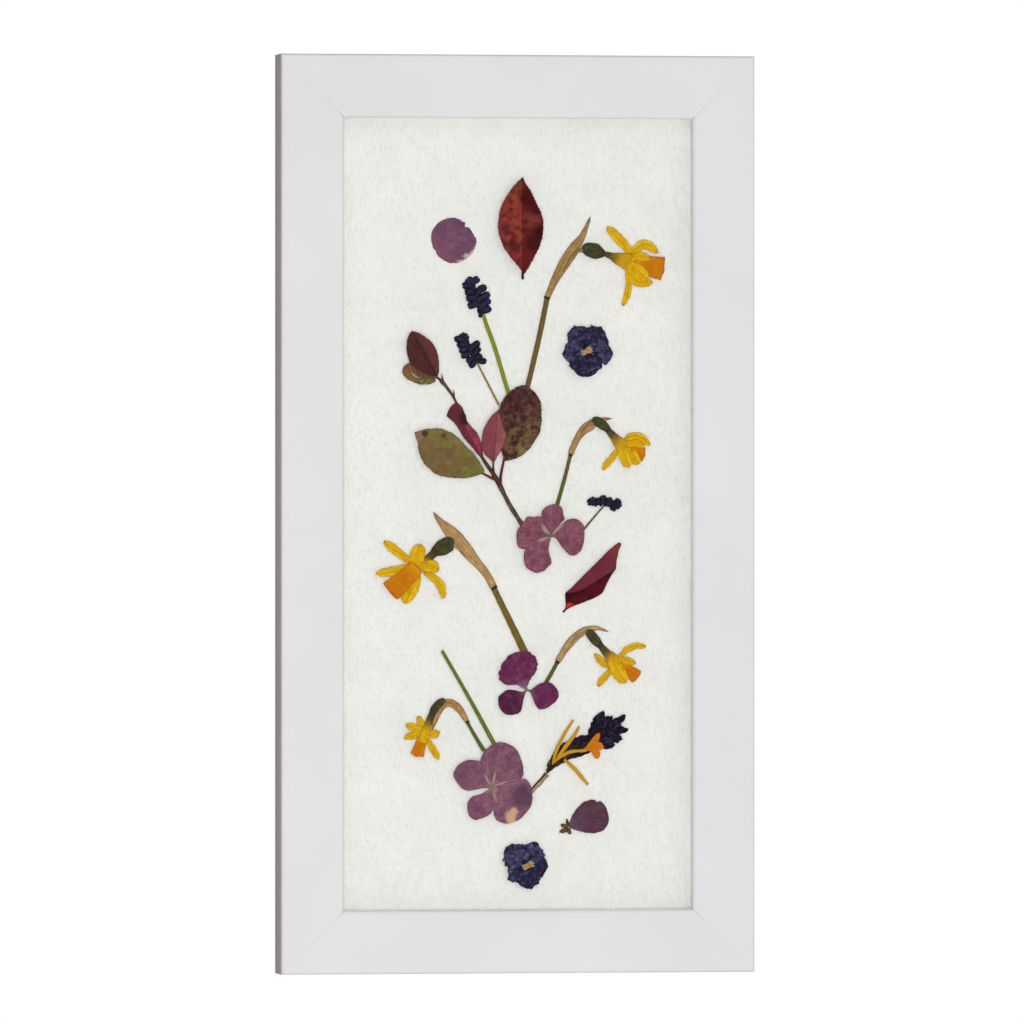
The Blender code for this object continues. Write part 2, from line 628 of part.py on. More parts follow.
def build_crocus(parts):
    """A withered crocus-like flower on a short papery stem."""
    tan = paint("crocus_stem_tan")
    violet = paint("crocus_violet")
    stem = [(8.0, -172.5, 2.4), (13.5, -167.0, 2.6), (18.0, -162.5, 3.2)]
    pressed_stem("crocus_stem", stem, tan, parts, steps=2)
    outline = [(19.5, -160.5), (18.0, -155.5), (21.5, -147.0), (28.0, -140.5), (33.0, -127.0)]
    outline += [(36.0, -126.5), (36.5, -133.0), (44.5, -136.0), (50.5, -133.5), (51.0, -126.0)]
    outline += [(53.0, -122.0), (58.0, -126.0), (68.0, -125.0), (69.0, -133.5), (63.5, -141.0)]
    outline += [(53.5, -145.0), (51.0, -150.5), (42.0, -147.0), (33.0, -150.5)]
    outline += [(45.5, -165.5), (43.5, -167.0), (27.0, -152.0), (22.5, -155.0)]
    flat_piece("crocus_flower", outline, LOW, CROCUS_THICK, violet, parts)


def build():
    clear_scene()
    parts = new_collection("pressed_flower_frame")
    cutters = new_collection("cutters")
    build_frame(parts, cutters)
    build_picture_stack(parts)
    build_narcissi(parts)
    build_muscari(parts)
    build_violas(parts)
    build_hydrangeas(parts)
    build_sprig(parts)
    build_loose_leaves(parts)
    build_crocus(parts)


build()
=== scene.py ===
"""Pressed flower frame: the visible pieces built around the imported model.

A white wooden frame holds embossed paper behind glass, with dried narcissi, grape hyacinths,
violas, hydrangea florets, a photinia sprig and loose leaves pressed flat on it.
"""

import logging
import math
from dataclasses import dataclass, field, replace
from enum import Enum
from typing import Any, Sequence

import bmesh
import bpy
import numpy as np
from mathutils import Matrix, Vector


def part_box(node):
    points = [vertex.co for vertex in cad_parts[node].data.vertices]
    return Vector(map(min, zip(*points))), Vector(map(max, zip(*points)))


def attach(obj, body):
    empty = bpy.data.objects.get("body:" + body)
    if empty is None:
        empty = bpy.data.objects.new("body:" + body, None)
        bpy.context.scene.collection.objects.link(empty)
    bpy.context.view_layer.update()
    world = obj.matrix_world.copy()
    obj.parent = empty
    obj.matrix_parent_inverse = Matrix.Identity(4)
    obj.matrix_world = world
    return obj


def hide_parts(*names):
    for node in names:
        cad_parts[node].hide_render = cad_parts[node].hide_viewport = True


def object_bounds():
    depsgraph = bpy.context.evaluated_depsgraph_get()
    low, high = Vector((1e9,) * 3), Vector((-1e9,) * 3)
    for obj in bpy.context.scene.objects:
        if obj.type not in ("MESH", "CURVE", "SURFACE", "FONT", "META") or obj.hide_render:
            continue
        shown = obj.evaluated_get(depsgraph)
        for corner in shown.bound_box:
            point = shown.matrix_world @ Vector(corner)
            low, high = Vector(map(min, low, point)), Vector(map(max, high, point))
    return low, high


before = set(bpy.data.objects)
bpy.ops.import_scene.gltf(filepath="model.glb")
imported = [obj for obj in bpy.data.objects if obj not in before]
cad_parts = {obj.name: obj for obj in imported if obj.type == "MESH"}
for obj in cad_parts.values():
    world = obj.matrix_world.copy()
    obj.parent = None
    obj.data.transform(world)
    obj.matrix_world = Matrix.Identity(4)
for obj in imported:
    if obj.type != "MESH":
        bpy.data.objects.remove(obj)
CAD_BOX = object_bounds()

LOG = logging.getLogger("pressed_flower_frame")
Rgb = tuple[float, float, float]
Station = tuple[float, ...]
Array = np.ndarray

MM = 0.001
BODY = "root"
SHEET_LOW, SHEET_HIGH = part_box("paper_sheet")
PAPER_Y = SHEET_LOW.y
CENTRE_Z = (SHEET_LOW.z + SHEET_HIGH.z) / 2
ROOM_MM = 4.3  # a pressed piece keeps below this height above the paper, clear of the glass


# Shared helpers -------------------------------------------------------------------------------


def linear(colour: Rgb) -> tuple[float, float, float, float]:
    """The linear colour of an 8-bit one.

    Args:
        colour: Red, green and blue from 0 to 255.

    Returns:
        Linear red, green, blue and an alpha of one.
    """
    parts = [c / 255 for c in colour]
    steps = [c / 12.92 if c <= 0.04045 else ((c + 0.055) / 1.055) ** 2.4 for c in parts]
    return (steps[0], steps[1], steps[2], 1.0)


def soft_noise(x: Array, z: Array, seed: int) -> Array:
    """Smooth noise between -1 and 1 whose features are about one unit wide.

    Args:
        x: First coordinates.
        z: Second coordinates, of the same shape.
        seed: Picks the pattern.

    Returns:
        One value for each place.
    """
    size = 128
    table = np.random.default_rng(seed).uniform(-1, 1, (size, size))
    column, row = np.floor(x).astype(int), np.floor(z).astype(int)
    fx, fz = x - column, z - row
    fx, fz = fx * fx * (3 - 2 * fx), fz * fz * (3 - 2 * fz)

    def corner(i: int, j: int) -> Array:
        """The table's values at one corner of each cell."""
        return table[(row + j) % size, (column + i) % size]

    low = corner(0, 0) * (1 - fx) + corner(1, 0) * fx
    high = corner(0, 1) * (1 - fx) + corner(1, 1) * fx
    return low * (1 - fz) + high * fz


def smooth_line(points: Sequence[Station], count: int = 200) -> Array:
    """Evenly spaced points along a Catmull-Rom curve.

    Args:
        points: Stations of two or more numbers, the first two being the place.
        count: Number of stretches in the result.

    Returns:
        An array of count + 1 rows.
    """
    given = np.array(points, float)
    ends = np.vstack([2 * given[0] - given[1], given, 2 * given[-1] - given[-2]])
    t = np.linspace(0, 1, 24, endpoint=False)[:, None]
    rows = []
    for a, b, c, d in zip(ends, ends[1:], ends[2:], ends[3:]):
        bend = 2 * b + (c - a) * t + (2 * a - 5 * b + 4 * c - d) * t**2
        rows.append((bend + (3 * b - a - 3 * c + d) * t**3) / 2)
    dense = np.vstack([*rows, given[-1:]])
    steps = np.hypot(*np.diff(dense[:, :2], axis=0).T)
    far = np.concatenate([[0], np.cumsum(steps)])
    even = np.linspace(0, far[-1], count + 1)
    return np.column_stack([np.interp(even, far, column) for column in dense.T])


def line_length(line: Array) -> float:
    """The length of a row of places."""
    return float(np.hypot(*np.diff(line[:, :2], axis=0).T).sum())


def sample(line: Array, t: Array) -> Array:
    """The rows of an even line at shares t of its length."""
    even = np.linspace(0, 1, len(line))
    return np.column_stack([np.interp(t, even, column) for column in line.T])


def sideways(line: Array, t: Array) -> Array:
    """Unit vectors to the left of an even line, at shares t of its length."""
    reach = 0.02
    ahead = sample(line[:, :2], np.clip(t + reach, 0, 1))
    behind = sample(line[:, :2], np.clip(t - reach, 0, 1))
    along = ahead - behind
    along /= np.maximum(np.hypot(*along.T), 1e-9)[:, None]
    return np.column_stack([-along[:, 1], along[:, 0]])


# Materials ------------------------------------------------------------------------------------


class Graph:
    """A node tree with short calls that add and join nodes."""

    def __init__(self, tree: bpy.types.NodeTree) -> None:
        """Keeps the tree to work in."""
        self.tree = tree

    def feed(self, socket: bpy.types.NodeSocket, value: Any) -> None:
        """Links a socket to another one, or sets its plain value."""
        if isinstance(value, bpy.types.NodeSocket):
            self.tree.links.new(value, socket)
        else:
            socket.default_value = value

    def add(self, kind: str, inputs: dict[Any, Any] | None = None, **settings: Any) -> bpy.types.Node:
        """Adds a shader node.

        Args:
            kind: The node's type without its "ShaderNode" prefix.
            inputs: Values or sockets by input name or number.
            settings: The node's own properties.

        Returns:
            The new node.
        """
        node = self.tree.nodes.new("ShaderNode" + kind)
        for name, value in settings.items():
            setattr(node, name, value)
        for name, value in (inputs or {}).items():
            self.feed(node.inputs[name], value)
        return node

    def math(self, operation: str, *values: Any, clamp: bool = False) -> bpy.types.NodeSocket:
        """The result of a Math node."""
        node = self.add("Math", dict(enumerate(values)), operation=operation, use_clamp=clamp)
        return node.outputs[0]

    def smooth(self, value: Any, start: Any, end: Any) -> bpy.types.NodeSocket:
        """A smooth step of value from 0 at start to 1 at end."""
        values = {"Value": value, "From Min": start, "From Max": end}
        return self.add("MapRange", values, interpolation_type="SMOOTHSTEP").outputs["Result"]

    def span(self, value: Any, low: float, high: float) -> bpy.types.NodeSocket:
        """A mask from 0 to 1 mapped to low and high."""
        return self.add("MapRange", {"Value": value, "To Min": low, "To Max": high}).outputs["Result"]

    def mix(self, factor: Any, first: Any, second: Any, blend: str = "MIX") -> bpy.types.NodeSocket:
        """A mix of two colours."""
        colours = [value if isinstance(value, bpy.types.NodeSocket) else linear(value) for value in (first, second)]
        values = {0: factor, 6: colours[0], 7: colours[1]}
        return self.add("Mix", values, data_type="RGBA", blend_type=blend).outputs[2]

    def place(self, scale: tuple[float, float, float] = (1, 1, 1)) -> bpy.types.NodeSocket:
        """The place on the piece in millimetres, times scale."""
        coordinates = self.add("TexCoord").outputs["Object"]
        to_mm = tuple(factor / MM for factor in scale)
        values = {0: coordinates, 1: to_mm}
        return self.add("VectorMath", values, operation="MULTIPLY").outputs[0]

    def group(self, tree: bpy.types.NodeTree, **values: Any) -> bpy.types.NodeSocket:
        """Places a group with its own values and returns its first output."""
        node = self.add("Group", node_tree=tree)
        for name, value in values.items():
            self.feed(node.inputs[name.capitalize()], value)
        return node.outputs[0]


class Pattern(Enum):
    """The patterns that a finish lays over its colour."""

    MOTTLE = "Mottle"
    FIBRE = "Fibres"
    PINNATE = "Side veins"
    MIDRIB = "Midrib"
    FAN = "Fan veins"
    NET = "Wrinkle net"
    RIM = "Rim"
    BASE = "Base"
    TIP = "Tip"
    LEFT = "Left half"
    RIGHT = "Right half"
    SPOT = "Spot"


class PatternGroups:
    """Builds each pattern's node group once: four named inputs, and a mask that varies."""

    inputs = (("Size", 1.0), ("Level", 0.5), ("Softness", 0.2), ("Seed", 0.0))
    made: dict[Pattern, bpy.types.NodeTree] = {}

    @classmethod
    def get(cls, pattern: Pattern) -> bpy.types.NodeTree:
        """The node group of a pattern, which is built at its first use."""
        if pattern not in cls.made:
            tree = bpy.data.node_groups.new(pattern.value, "ShaderNodeTree")
            for name, value in cls.inputs:
                tree.interface.new_socket(name, in_out="INPUT", socket_type="NodeSocketFloat").default_value = value
            tree.interface.new_socket("Mask", in_out="OUTPUT", socket_type="NodeSocketFloat")
            cls.made[pattern] = tree
            cls(tree).draw(pattern)
        return cls.made[pattern]

    def __init__(self, tree: bpy.types.NodeTree) -> None:
        """Adds what every pattern reads: its inputs and the leaf coordinates."""
        self.g = Graph(tree)
        self.entry = tree.nodes.new("NodeGroupInput")
        self.exit = tree.nodes.new("NodeGroupOutput")
        self.size, self.level, self.softness, self.seed = (self.entry.outputs[n] for n, _ in self.inputs)

    def coordinates(self, name: str) -> list[bpy.types.NodeSocket]:
        """The three numbers of a stored leaf coordinate."""
        stored = self.g.add("Attribute", attribute_name=name).outputs["Vector"]
        return list(self.g.add("SeparateXYZ", {0: stored}).outputs)

    def noise(self, vector: Any, scale: Any, detail: float = 3.0) -> bpy.types.NodeSocket:
        """Four-dimensional noise, whose fourth coordinate is the seed."""
        values = {"Vector": vector, "W": self.seed, "Scale": scale, "Detail": detail, "Roughness": 0.55}
        return self.g.add("TexNoise", values, noise_dimensions="4D").outputs["Fac"]

    def wobble(self, amount: float, size: float = 3.0) -> bpy.types.NodeSocket:
        """Slow noise round zero that bends a pattern's lines."""
        grain = self.noise(self.g.place(), 1 / size, 2.0)
        return self.g.math("MULTIPLY", self.g.math("SUBTRACT", grain, 0.5), amount)

    def step(self, value: Any) -> bpy.types.NodeSocket:
        """A soft step of value round the level."""
        g = self.g
        return g.smooth(
            value, g.math("SUBTRACT", self.level, self.softness), g.math("ADD", self.level, self.softness)
        )

    def line(self, distance: Any) -> bpy.types.NodeSocket:
        """One where distance is zero, falling to nothing at the softness."""
        return self.g.math("SUBTRACT", 1.0, self.g.smooth(distance, 0.0, self.softness))

    def draw(self, pattern: Pattern) -> None:
        """Builds one pattern and joins it to the group's output."""
        g = self.g
        u, v, rim = self.coordinates("lie")
        along, across, _ = self.coordinates("span")
        scale = g.math("DIVIDE", 1.0, self.size)
        if pattern is Pattern.MOTTLE:
            mask = self.step(self.noise(g.place(), scale))
        elif pattern is Pattern.FIBRE:
            lengthwise = g.math("MULTIPLY", along, 0.07)
            fibre = g.add("CombineXYZ", {0: across, 1: lengthwise}).outputs[0]
            mask = self.step(self.noise(fibre, scale))
        elif pattern is Pattern.PINNATE:
            slant = g.math("MULTIPLY", g.math("ABSOLUTE", across), 0.8)
            rise = g.math("ADD", g.math("SUBTRACT", along, slant), self.wobble(1.6))
            swing = g.math("PINGPONG", g.math("MULTIPLY", rise, scale), 0.5)
            inner = g.math("SUBTRACT", 1.0, g.math("POWER", g.math("ABSOLUTE", v), 3.0))
            mask = g.math("MULTIPLY", self.line(swing), inner)
        elif pattern is Pattern.MIDRIB:
            width = g.math("MULTIPLY", self.size, g.math("SUBTRACT", 1.1, g.math("MULTIPLY", u, 0.8)))
            off = g.math("ABSOLUTE", g.math("ADD", across, self.wobble(0.5, 8.0)))
            mask = g.math("SUBTRACT", 1.0, g.smooth(off, g.math("MULTIPLY", width, 0.35), width))
        elif pattern is Pattern.FAN:
            angle = g.math("ARCTAN2", across, g.math("ADD", along, 1.0))
            bent = g.math("ADD", angle, self.wobble(0.16, 2.5))
            swing = g.math("PINGPONG", g.math("MULTIPLY", bent, scale), 0.5)
            fade = g.math("SUBTRACT", 1.0, g.smooth(u, g.math("SUBTRACT", self.level, 0.3), self.level))
            mask = g.math("MULTIPLY", self.line(swing), fade)
        elif pattern is Pattern.NET:
            values = {"Vector": g.place(), "Scale": scale, "W": self.seed}
            cells = g.add("TexVoronoi", values, voronoi_dimensions="4D", feature="DISTANCE_TO_EDGE")
            mask = self.line(cells.outputs["Distance"])
        elif pattern is Pattern.RIM:
            inset = g.math("ADD", rim, g.math("MULTIPLY", self.wobble(1.6, 2.0), self.size))
            mask = g.math("SUBTRACT", 1.0, g.smooth(inset, 0.0, self.size))
        elif pattern in (Pattern.BASE, Pattern.TIP):
            place = g.math("ADD", u, self.wobble(0.35, 3.0))
            mask = self.step(place)
            if pattern is Pattern.BASE:
                mask = g.math("SUBTRACT", 1.0, mask)
        elif pattern in (Pattern.LEFT, Pattern.RIGHT):
            facing = v if pattern is Pattern.LEFT else g.math("MULTIPLY", v, -1.0)
            mask = self.step(g.math("ADD", facing, self.wobble(0.3, 4.0)))
        else:
            aside = g.math("POWER", g.math("SUBTRACT", across, self.seed), 2.0)
            ahead = g.math("POWER", g.math("SUBTRACT", along, self.level), 2.0)
            distance = g.math("MULTIPLY", g.math("SQRT", g.math("ADD", aside, ahead)), scale)
            ragged = g.math("ADD", distance, self.wobble(0.9, 2.2))
            mask = g.math("SUBTRACT", 1.0, g.smooth(ragged, 0.6, g.math("ADD", 0.6, self.softness)))
        g.feed(self.exit.inputs["Mask"], mask)


@dataclass(frozen=True)
class Layer:
    """One pattern of a finish: its colour, how strong it is, and how far it stands proud in mm."""

    pattern: Pattern
    colour: Rgb
    amount: float = 1.0
    size: float = 1.0
    level: float = 0.5
    softness: float = 0.2
    seed: float = 0.0
    height: float = 0.0


@dataclass(frozen=True)
class PressedFinish:
    """The finish of dried plant matter: a colour, and patterns laid over it in turn."""

    name: str
    colour: Rgb
    layers: tuple[Layer, ...] = ()
    roughness: tuple[float, float] = (0.5, 0.75)
    grain: float = 0.05  # height of the tissue's own texture, mm
    grain_size: float = 0.7

    def material(self) -> bpy.types.Material:
        """The finish's material, made at its first use.

        Returns:
            The material, whose colour, roughness and normal vary over the piece.
        """
        found = bpy.data.materials.get(self.name)
        if found:
            return found
        mat = bpy.data.materials.new(self.name)
        mat.use_nodes = True
        g = Graph(mat.node_tree)
        shader = mat.node_tree.nodes["Principled BSDF"]
        mottle = PatternGroups.get(Pattern.MOTTLE)
        grain = g.group(mottle, size=self.grain_size, level=0.5, softness=0.35, seed=7.3)
        patch = g.group(mottle, size=6.0, level=0.5, softness=0.3, seed=2.1)
        darker = tuple(0.9 * part for part in self.colour)
        colour = g.mix(grain, darker, self.colour)
        height = g.math("MULTIPLY", grain, self.grain)
        for layer in self.layers:
            values = {"size": layer.size, "level": layer.level, "softness": layer.softness, "seed": layer.seed}
            mask = g.group(PatternGroups.get(layer.pattern), **values)
            colour = g.mix(g.math("MULTIPLY", mask, layer.amount), colour, layer.colour)
            if layer.height:
                height = g.math("ADD", height, g.math("MULTIPLY", mask, layer.height))
        bump = g.add("Bump", {"Strength": 1.0, "Distance": MM, "Height": height})
        g.feed(shader.inputs["Base Color"], colour)
        g.feed(shader.inputs["Roughness"], g.span(patch, *self.roughness))
        g.feed(shader.inputs["Normal"], bump.outputs[0])
        shader.inputs["Specular IOR Level"].default_value = 0.12
        return mat


# Shapes ---------------------------------------------------------------------------------------


@dataclass
class Shell:
    """One closed shell: points in metres, faces, its leaf coordinates and its finish."""

    points: Array
    faces: list[tuple[int, ...]]
    lie: Array  # share along, share across from 1 at the left to -1, distance from the rim in mm
    span: Array  # millimetres along and across
    finish: PressedFinish


def on_paper(x: Array, z: Array, height: Array) -> Array:
    """Places on the sheet, in millimetres from its middle and above it, as points in metres."""
    return np.column_stack([x * MM, PAPER_Y - height * MM, CENTRE_Z + z * MM])


def fan(pole: int, ring: Sequence[int]) -> list[tuple[int, ...]]:
    """Triangles from a pole to each stretch of a closed ring."""
    return [(pole, a, b) for a, b in zip(ring, [*ring[1:], ring[0]])]


class Outline(Enum):
    """Outlines of pressed blades, as the powers of t and 1 - t that their width follows."""

    LEAF = (0.85, 0.85)
    OVATE = (0.7, 1.0)
    OBOVATE = (0.95, 0.5)
    RHOMBIC = (1.1, 1.15)
    WEDGE = (0.45, 1.0)
    PETAL = (0.8, 0.42)
    ROUND = (0.6, 0.45)
    DISC = (0.5, 0.5)
    STRAP = (0.4, 0.32)
    TEPAL = (0.55, 0.38)
    CUP = (0.3, 0.05)
    SPATHE = (0.75, 0.75)
    FLORET = (0.8, 0.4)

    def width(self, t: Array) -> Array:
        """The share of the full width at shares t of the length."""
        a, b = self.value
        peak = a / (a + b)
        return t**a * (1 - t) ** b / (peak**a * (1 - peak) ** b)


@dataclass
class Blade:
    """A thin pressed leaf or petal, modelled as a closed relief. Sizes are in millimetres.

    The path runs from its base to its tip, left and right are its half widths, and bites are
    bumps or notches in its edge: (share along, +1 left or -1 right, depth, share of length).
    """

    path: Sequence[Station]
    left: float
    right: float
    finish: PressedFinish
    outline: Outline = Outline.LEAF
    level: float = 0.5
    thickness: float = 0.25
    fold: float = 0.0
    bulge: float = 0.0
    crinkle: float = 0.12
    crinkle_size: float = 5.0
    lift: tuple[float, float, float, float] = (0.0, 0.0, 0.0, 0.0)  # left, right, base, tip
    rib: float = 0.0
    veins: float = 0.0
    teeth: float = 0.0
    pitch: float = 2.0
    ragged: float = 0.15
    ragged_size: float = 1.6
    frill: float = 0.0
    notch: float = 0.0
    foot: float = 0.0
    edges: Sequence[Station] = ()  # share along, left and right half widths, in place of the outline
    bites: Sequence[tuple[float, float, float, float]] = ()
    seed: int = 1
    cell: float = 0.7

    def half_width(self, t: Array, side: float, length: float) -> Array:
        """The half width on one side of the midrib at shares t, in mm."""
        full = self.left if side > 0 else self.right
        shape = self.outline.width(t) + self.foot * (1 - t) ** 3
        if self.edges:
            table = smooth_line([(0.0, 0.0, 0.0), *self.edges, (1.0, 0.0, 0.0)], 400)
            column = table[:, 1 if side > 0 else 2]
            shape = np.maximum(np.interp(t, np.maximum.accumulate(table[:, 0]), column), 0) / full
        seed = self.seed + (0 if side > 0 else 50)
        place = t * length
        rough = soft_noise(place / self.ragged_size, place * 0, seed)
        rough = rough + 0.6 * soft_noise(place / (0.45 * self.ragged_size), place * 0, seed + 1)
        saw = (place / self.pitch) % 1.0
        wide = full * shape + (self.ragged * rough + self.teeth * (saw - 0.5)) * np.minimum(1, 4 * shape)
        for at, bite_side, depth, reach in self.bites:
            if bite_side == side:
                wide = wide + depth * np.exp(-(((t - at) / reach) ** 2))
        return np.maximum(wide, 0.08)

    def middle_height(self, u: Array, v: Array, x: Array, z: Array, across: Array, along: Array) -> Array:
        """The height of the blade's middle surface above the paper, in mm."""
        left, right, base, tip = self.lift
        size = self.crinkle_size
        height = self.level + self.fold * np.abs(v) ** 1.3 + self.bulge * (1 - v**2) * np.sin(np.pi * u) ** 0.6
        height = height + left * np.maximum(v, 0) ** 2.5 + right * np.maximum(-v, 0) ** 2.5
        height = height + base * (1 - u) ** 2.5 + tip * u**2.5
        wave = soft_noise(x / size, z / size, self.seed + 7)
        ridge = 1 - np.abs(soft_noise(x / size * 2.1, z / size * 2.1, self.seed + 9)) * 2
        height = height + self.crinkle * (wave + 0.45 * ridge)
        height = height + self.rib * np.exp(-((across / 0.55) ** 2)) * (1.1 - u)
        if self.veins:
            wavelength = 5.0
            lanes = np.cos((along - 0.8 * np.abs(across)) * 2 * np.pi / wavelength)
            height = height + self.veins * np.maximum(lanes, 0) ** 4 * (1 - v**2)
        return np.clip(height, self.thickness / 2 + 0.15, ROOM_MM - self.thickness)

    def shell(self) -> Shell:
        """The blade's closed shell.

        Returns:
            Front and back surfaces that meet in a thin rim, with a pole at the base and the tip.
        """
        line = smooth_line(self.path)
        length = line_length(line)
        rows = max(10, round(1.5 * length / self.cell))
        columns = 2 * max(4, round((self.left + self.right) / (2 * self.cell)))
        t = (1 - np.cos(np.linspace(0, np.pi, rows + 2))) / 2
        middle, side = sample(line, t), sideways(line, t)
        inner = t[1:-1]
        wide_left = np.concatenate([[0], self.half_width(inner, 1.0, length), [0]])
        wide_right = np.concatenate([[0], self.half_width(inner, -1.0, length), [0]])
        v = np.sin(np.linspace(1, -1, columns + 1) * 1.35) / math.sin(1.35)
        grid_u, grid_v = np.meshgrid(t[1:-1], v, indexing="ij")
        wide = np.where(grid_v > 0, wide_left[1:-1, None], wide_right[1:-1, None])
        across = grid_v * wide
        end = np.clip((grid_u - 0.7) / 0.3, 0, 1) ** 2
        push = self.frill * soft_noise(grid_v * 4.5, grid_u * 0, self.seed + 3)
        push = (push - self.notch * np.exp(-((grid_v / 0.4) ** 2))) * end
        forward = np.column_stack([side[:, 1], -side[:, 0]])[1:-1]
        x = middle[1:-1, 0, None] + side[1:-1, 0, None] * across + forward[:, 0, None] * push
        z = middle[1:-1, 1, None] + side[1:-1, 1, None] * across + forward[:, 1, None] * push
        along = grid_u * length
        height = self.middle_height(grid_u, grid_v, x, z, across, along)
        body = (1 - grid_v**6) * (1 - (2 * grid_u - 1) ** 10)
        body[:, [0, -1]] = 0
        half = self.thickness / 2 * body
        rim = np.minimum(wide - np.abs(across), np.minimum(grid_u, 1 - grid_u) * length)
        keep = slice(1, columns)
        end_push = -self.notch
        tip_place = middle[-1, :2] + forward[-1] * end_push
        poles_x = np.array([middle[0, 0], tip_place[0]])
        poles_z = np.array([middle[0, 1], tip_place[1]])
        poles_h = np.array([height[0].mean(), height[-1].mean()])
        front = on_paper(x.ravel(), z.ravel(), (height + half).ravel())
        back = on_paper(x[:, keep].ravel(), z[:, keep].ravel(), (height - half)[:, keep].ravel())
        poles = on_paper(poles_x, poles_z, poles_h)
        width, count = columns + 1, rows
        first_back = count * width
        index = np.arange(count * width).reshape(count, width)
        under = index.copy()
        under[:, keep] = first_back + np.arange(count * (columns - 1)).reshape(count, columns - 1)
        base_pole = first_back + count * (columns - 1)
        faces = []
        for sheet, turn in ((index, 1), (under, -1)):
            corners = [sheet[:-1, :-1], sheet[:-1, 1:], sheet[1:, 1:], sheet[1:, :-1]][::turn]
            faces += [tuple(quad) for quad in np.stack(corners, axis=-1).reshape(-1, 4).tolist()]
        for row, pole in ((0, base_pole), (-1, base_pole + 1)):
            ring = index[row].tolist() + under[row, 1:-1][::-1].tolist()
            faces += fan(pole, ring)
        lie = np.stack([grid_u, grid_v, rim], axis=-1)
        span = np.stack([along, across, 0 * along], axis=-1)
        ends_lie = np.array([[0.0, 0.0, 0.0], [1.0, 0.0, 0.0]])
        ends_span = np.array([[0.0, 0.0, 0.0], [length, 0.0, 0.0]])
        return Shell(
            np.vstack([front, back, poles]),
            faces,
            np.vstack([lie.reshape(-1, 3), lie[:, keep].reshape(-1, 3), ends_lie]),
            np.vstack([span.reshape(-1, 3), span[:, keep].reshape(-1, 3), ends_span]),
            self.finish,
        )


@dataclass
class Shoot:
    """A stem, tube or ovary pressed oval. Its path is of (x, z, width), in millimetres."""

    path: Sequence[Station]
    finish: PressedFinish
    level: float = 0.3
    thick: float = 1.2
    grooves: float = 0.05
    groove_count: int = 7
    wobble: float = 0.04
    sides: int = 18
    cell: float = 0.9
    tip_level: float | None = None
    seed: int = 1

    def shell(self) -> Shell:
        """The shoot's closed shell, a grooved oval tube with closed ends.

        Returns:
            The shell.
        """
        line = smooth_line(self.path)
        length = line_length(line)
        rows = max(8, round(length / self.cell)) + 1
        t = np.linspace(0, 1, rows)
        row = sample(line, t)
        side = sideways(line, t)
        turn = np.linspace(0, 2 * np.pi, self.sides, endpoint=False)
        widest = row[:, 2].max()
        half = row[:, 2] / 2 * (1 + self.wobble * soft_noise(t * length / 3, t * 0, self.seed))
        radius = 1 + self.grooves * np.cos(self.groove_count * turn)[None, :]
        across = half[:, None] * np.cos(turn)[None, :] * radius
        depth = self.thick / 2 * np.sqrt(half / (widest / 2))[:, None]
        depth = np.minimum(depth, half[:, None] * 1.1)
        end_level = self.level if self.tip_level is None else self.tip_level
        base = self.level + (end_level - self.level) * t[:, None]
        rise = depth * (1 + np.sin(turn)[None, :] * radius)
        height = np.minimum(base + rise, ROOM_MM)
        x = row[:, 0, None] + side[:, 0, None] * across
        z = row[:, 1, None] + side[:, 1, None] * across
        ring_count = rows * self.sides
        index = np.arange(ring_count).reshape(rows, self.sides)
        shifted = np.roll(index, -1, axis=1)
        quads = np.stack([index[:-1], shifted[:-1], shifted[1:], index[1:]], axis=-1)
        faces = [tuple(quad) for quad in quads.reshape(-1, 4).tolist()]
        faces += fan(ring_count, index[0].tolist()) + fan(ring_count + 1, index[-1].tolist())
        ends = row[[0, -1]]
        end_heights = (base + depth)[[0, -1], 0]
        points = np.vstack([on_paper(x.ravel(), z.ravel(), height.ravel()), on_paper(ends[:, 0], ends[:, 1], end_heights)])
        grid_u = np.repeat(t[:, None], self.sides, axis=1)
        grid_v = np.repeat(np.cos(turn)[None, :], rows, axis=0)
        rim = half[:, None] * (1 - np.abs(grid_v))
        lie = np.stack([grid_u, grid_v, rim], axis=-1).reshape(-1, 3)
        span = np.stack([grid_u * length, across, 0 * across], axis=-1).reshape(-1, 3)
        ends_lie = np.array([[0.0, 0.0, half[0]], [1.0, 0.0, half[-1]]])
        ends_span = np.array([[0.0, 0.0, 0.0], [length, 0.0, 0.0]])
        return Shell(points, faces, np.vstack([lie, ends_lie]), np.vstack([span, ends_span]), self.finish)


Shape = Blade | Shoot


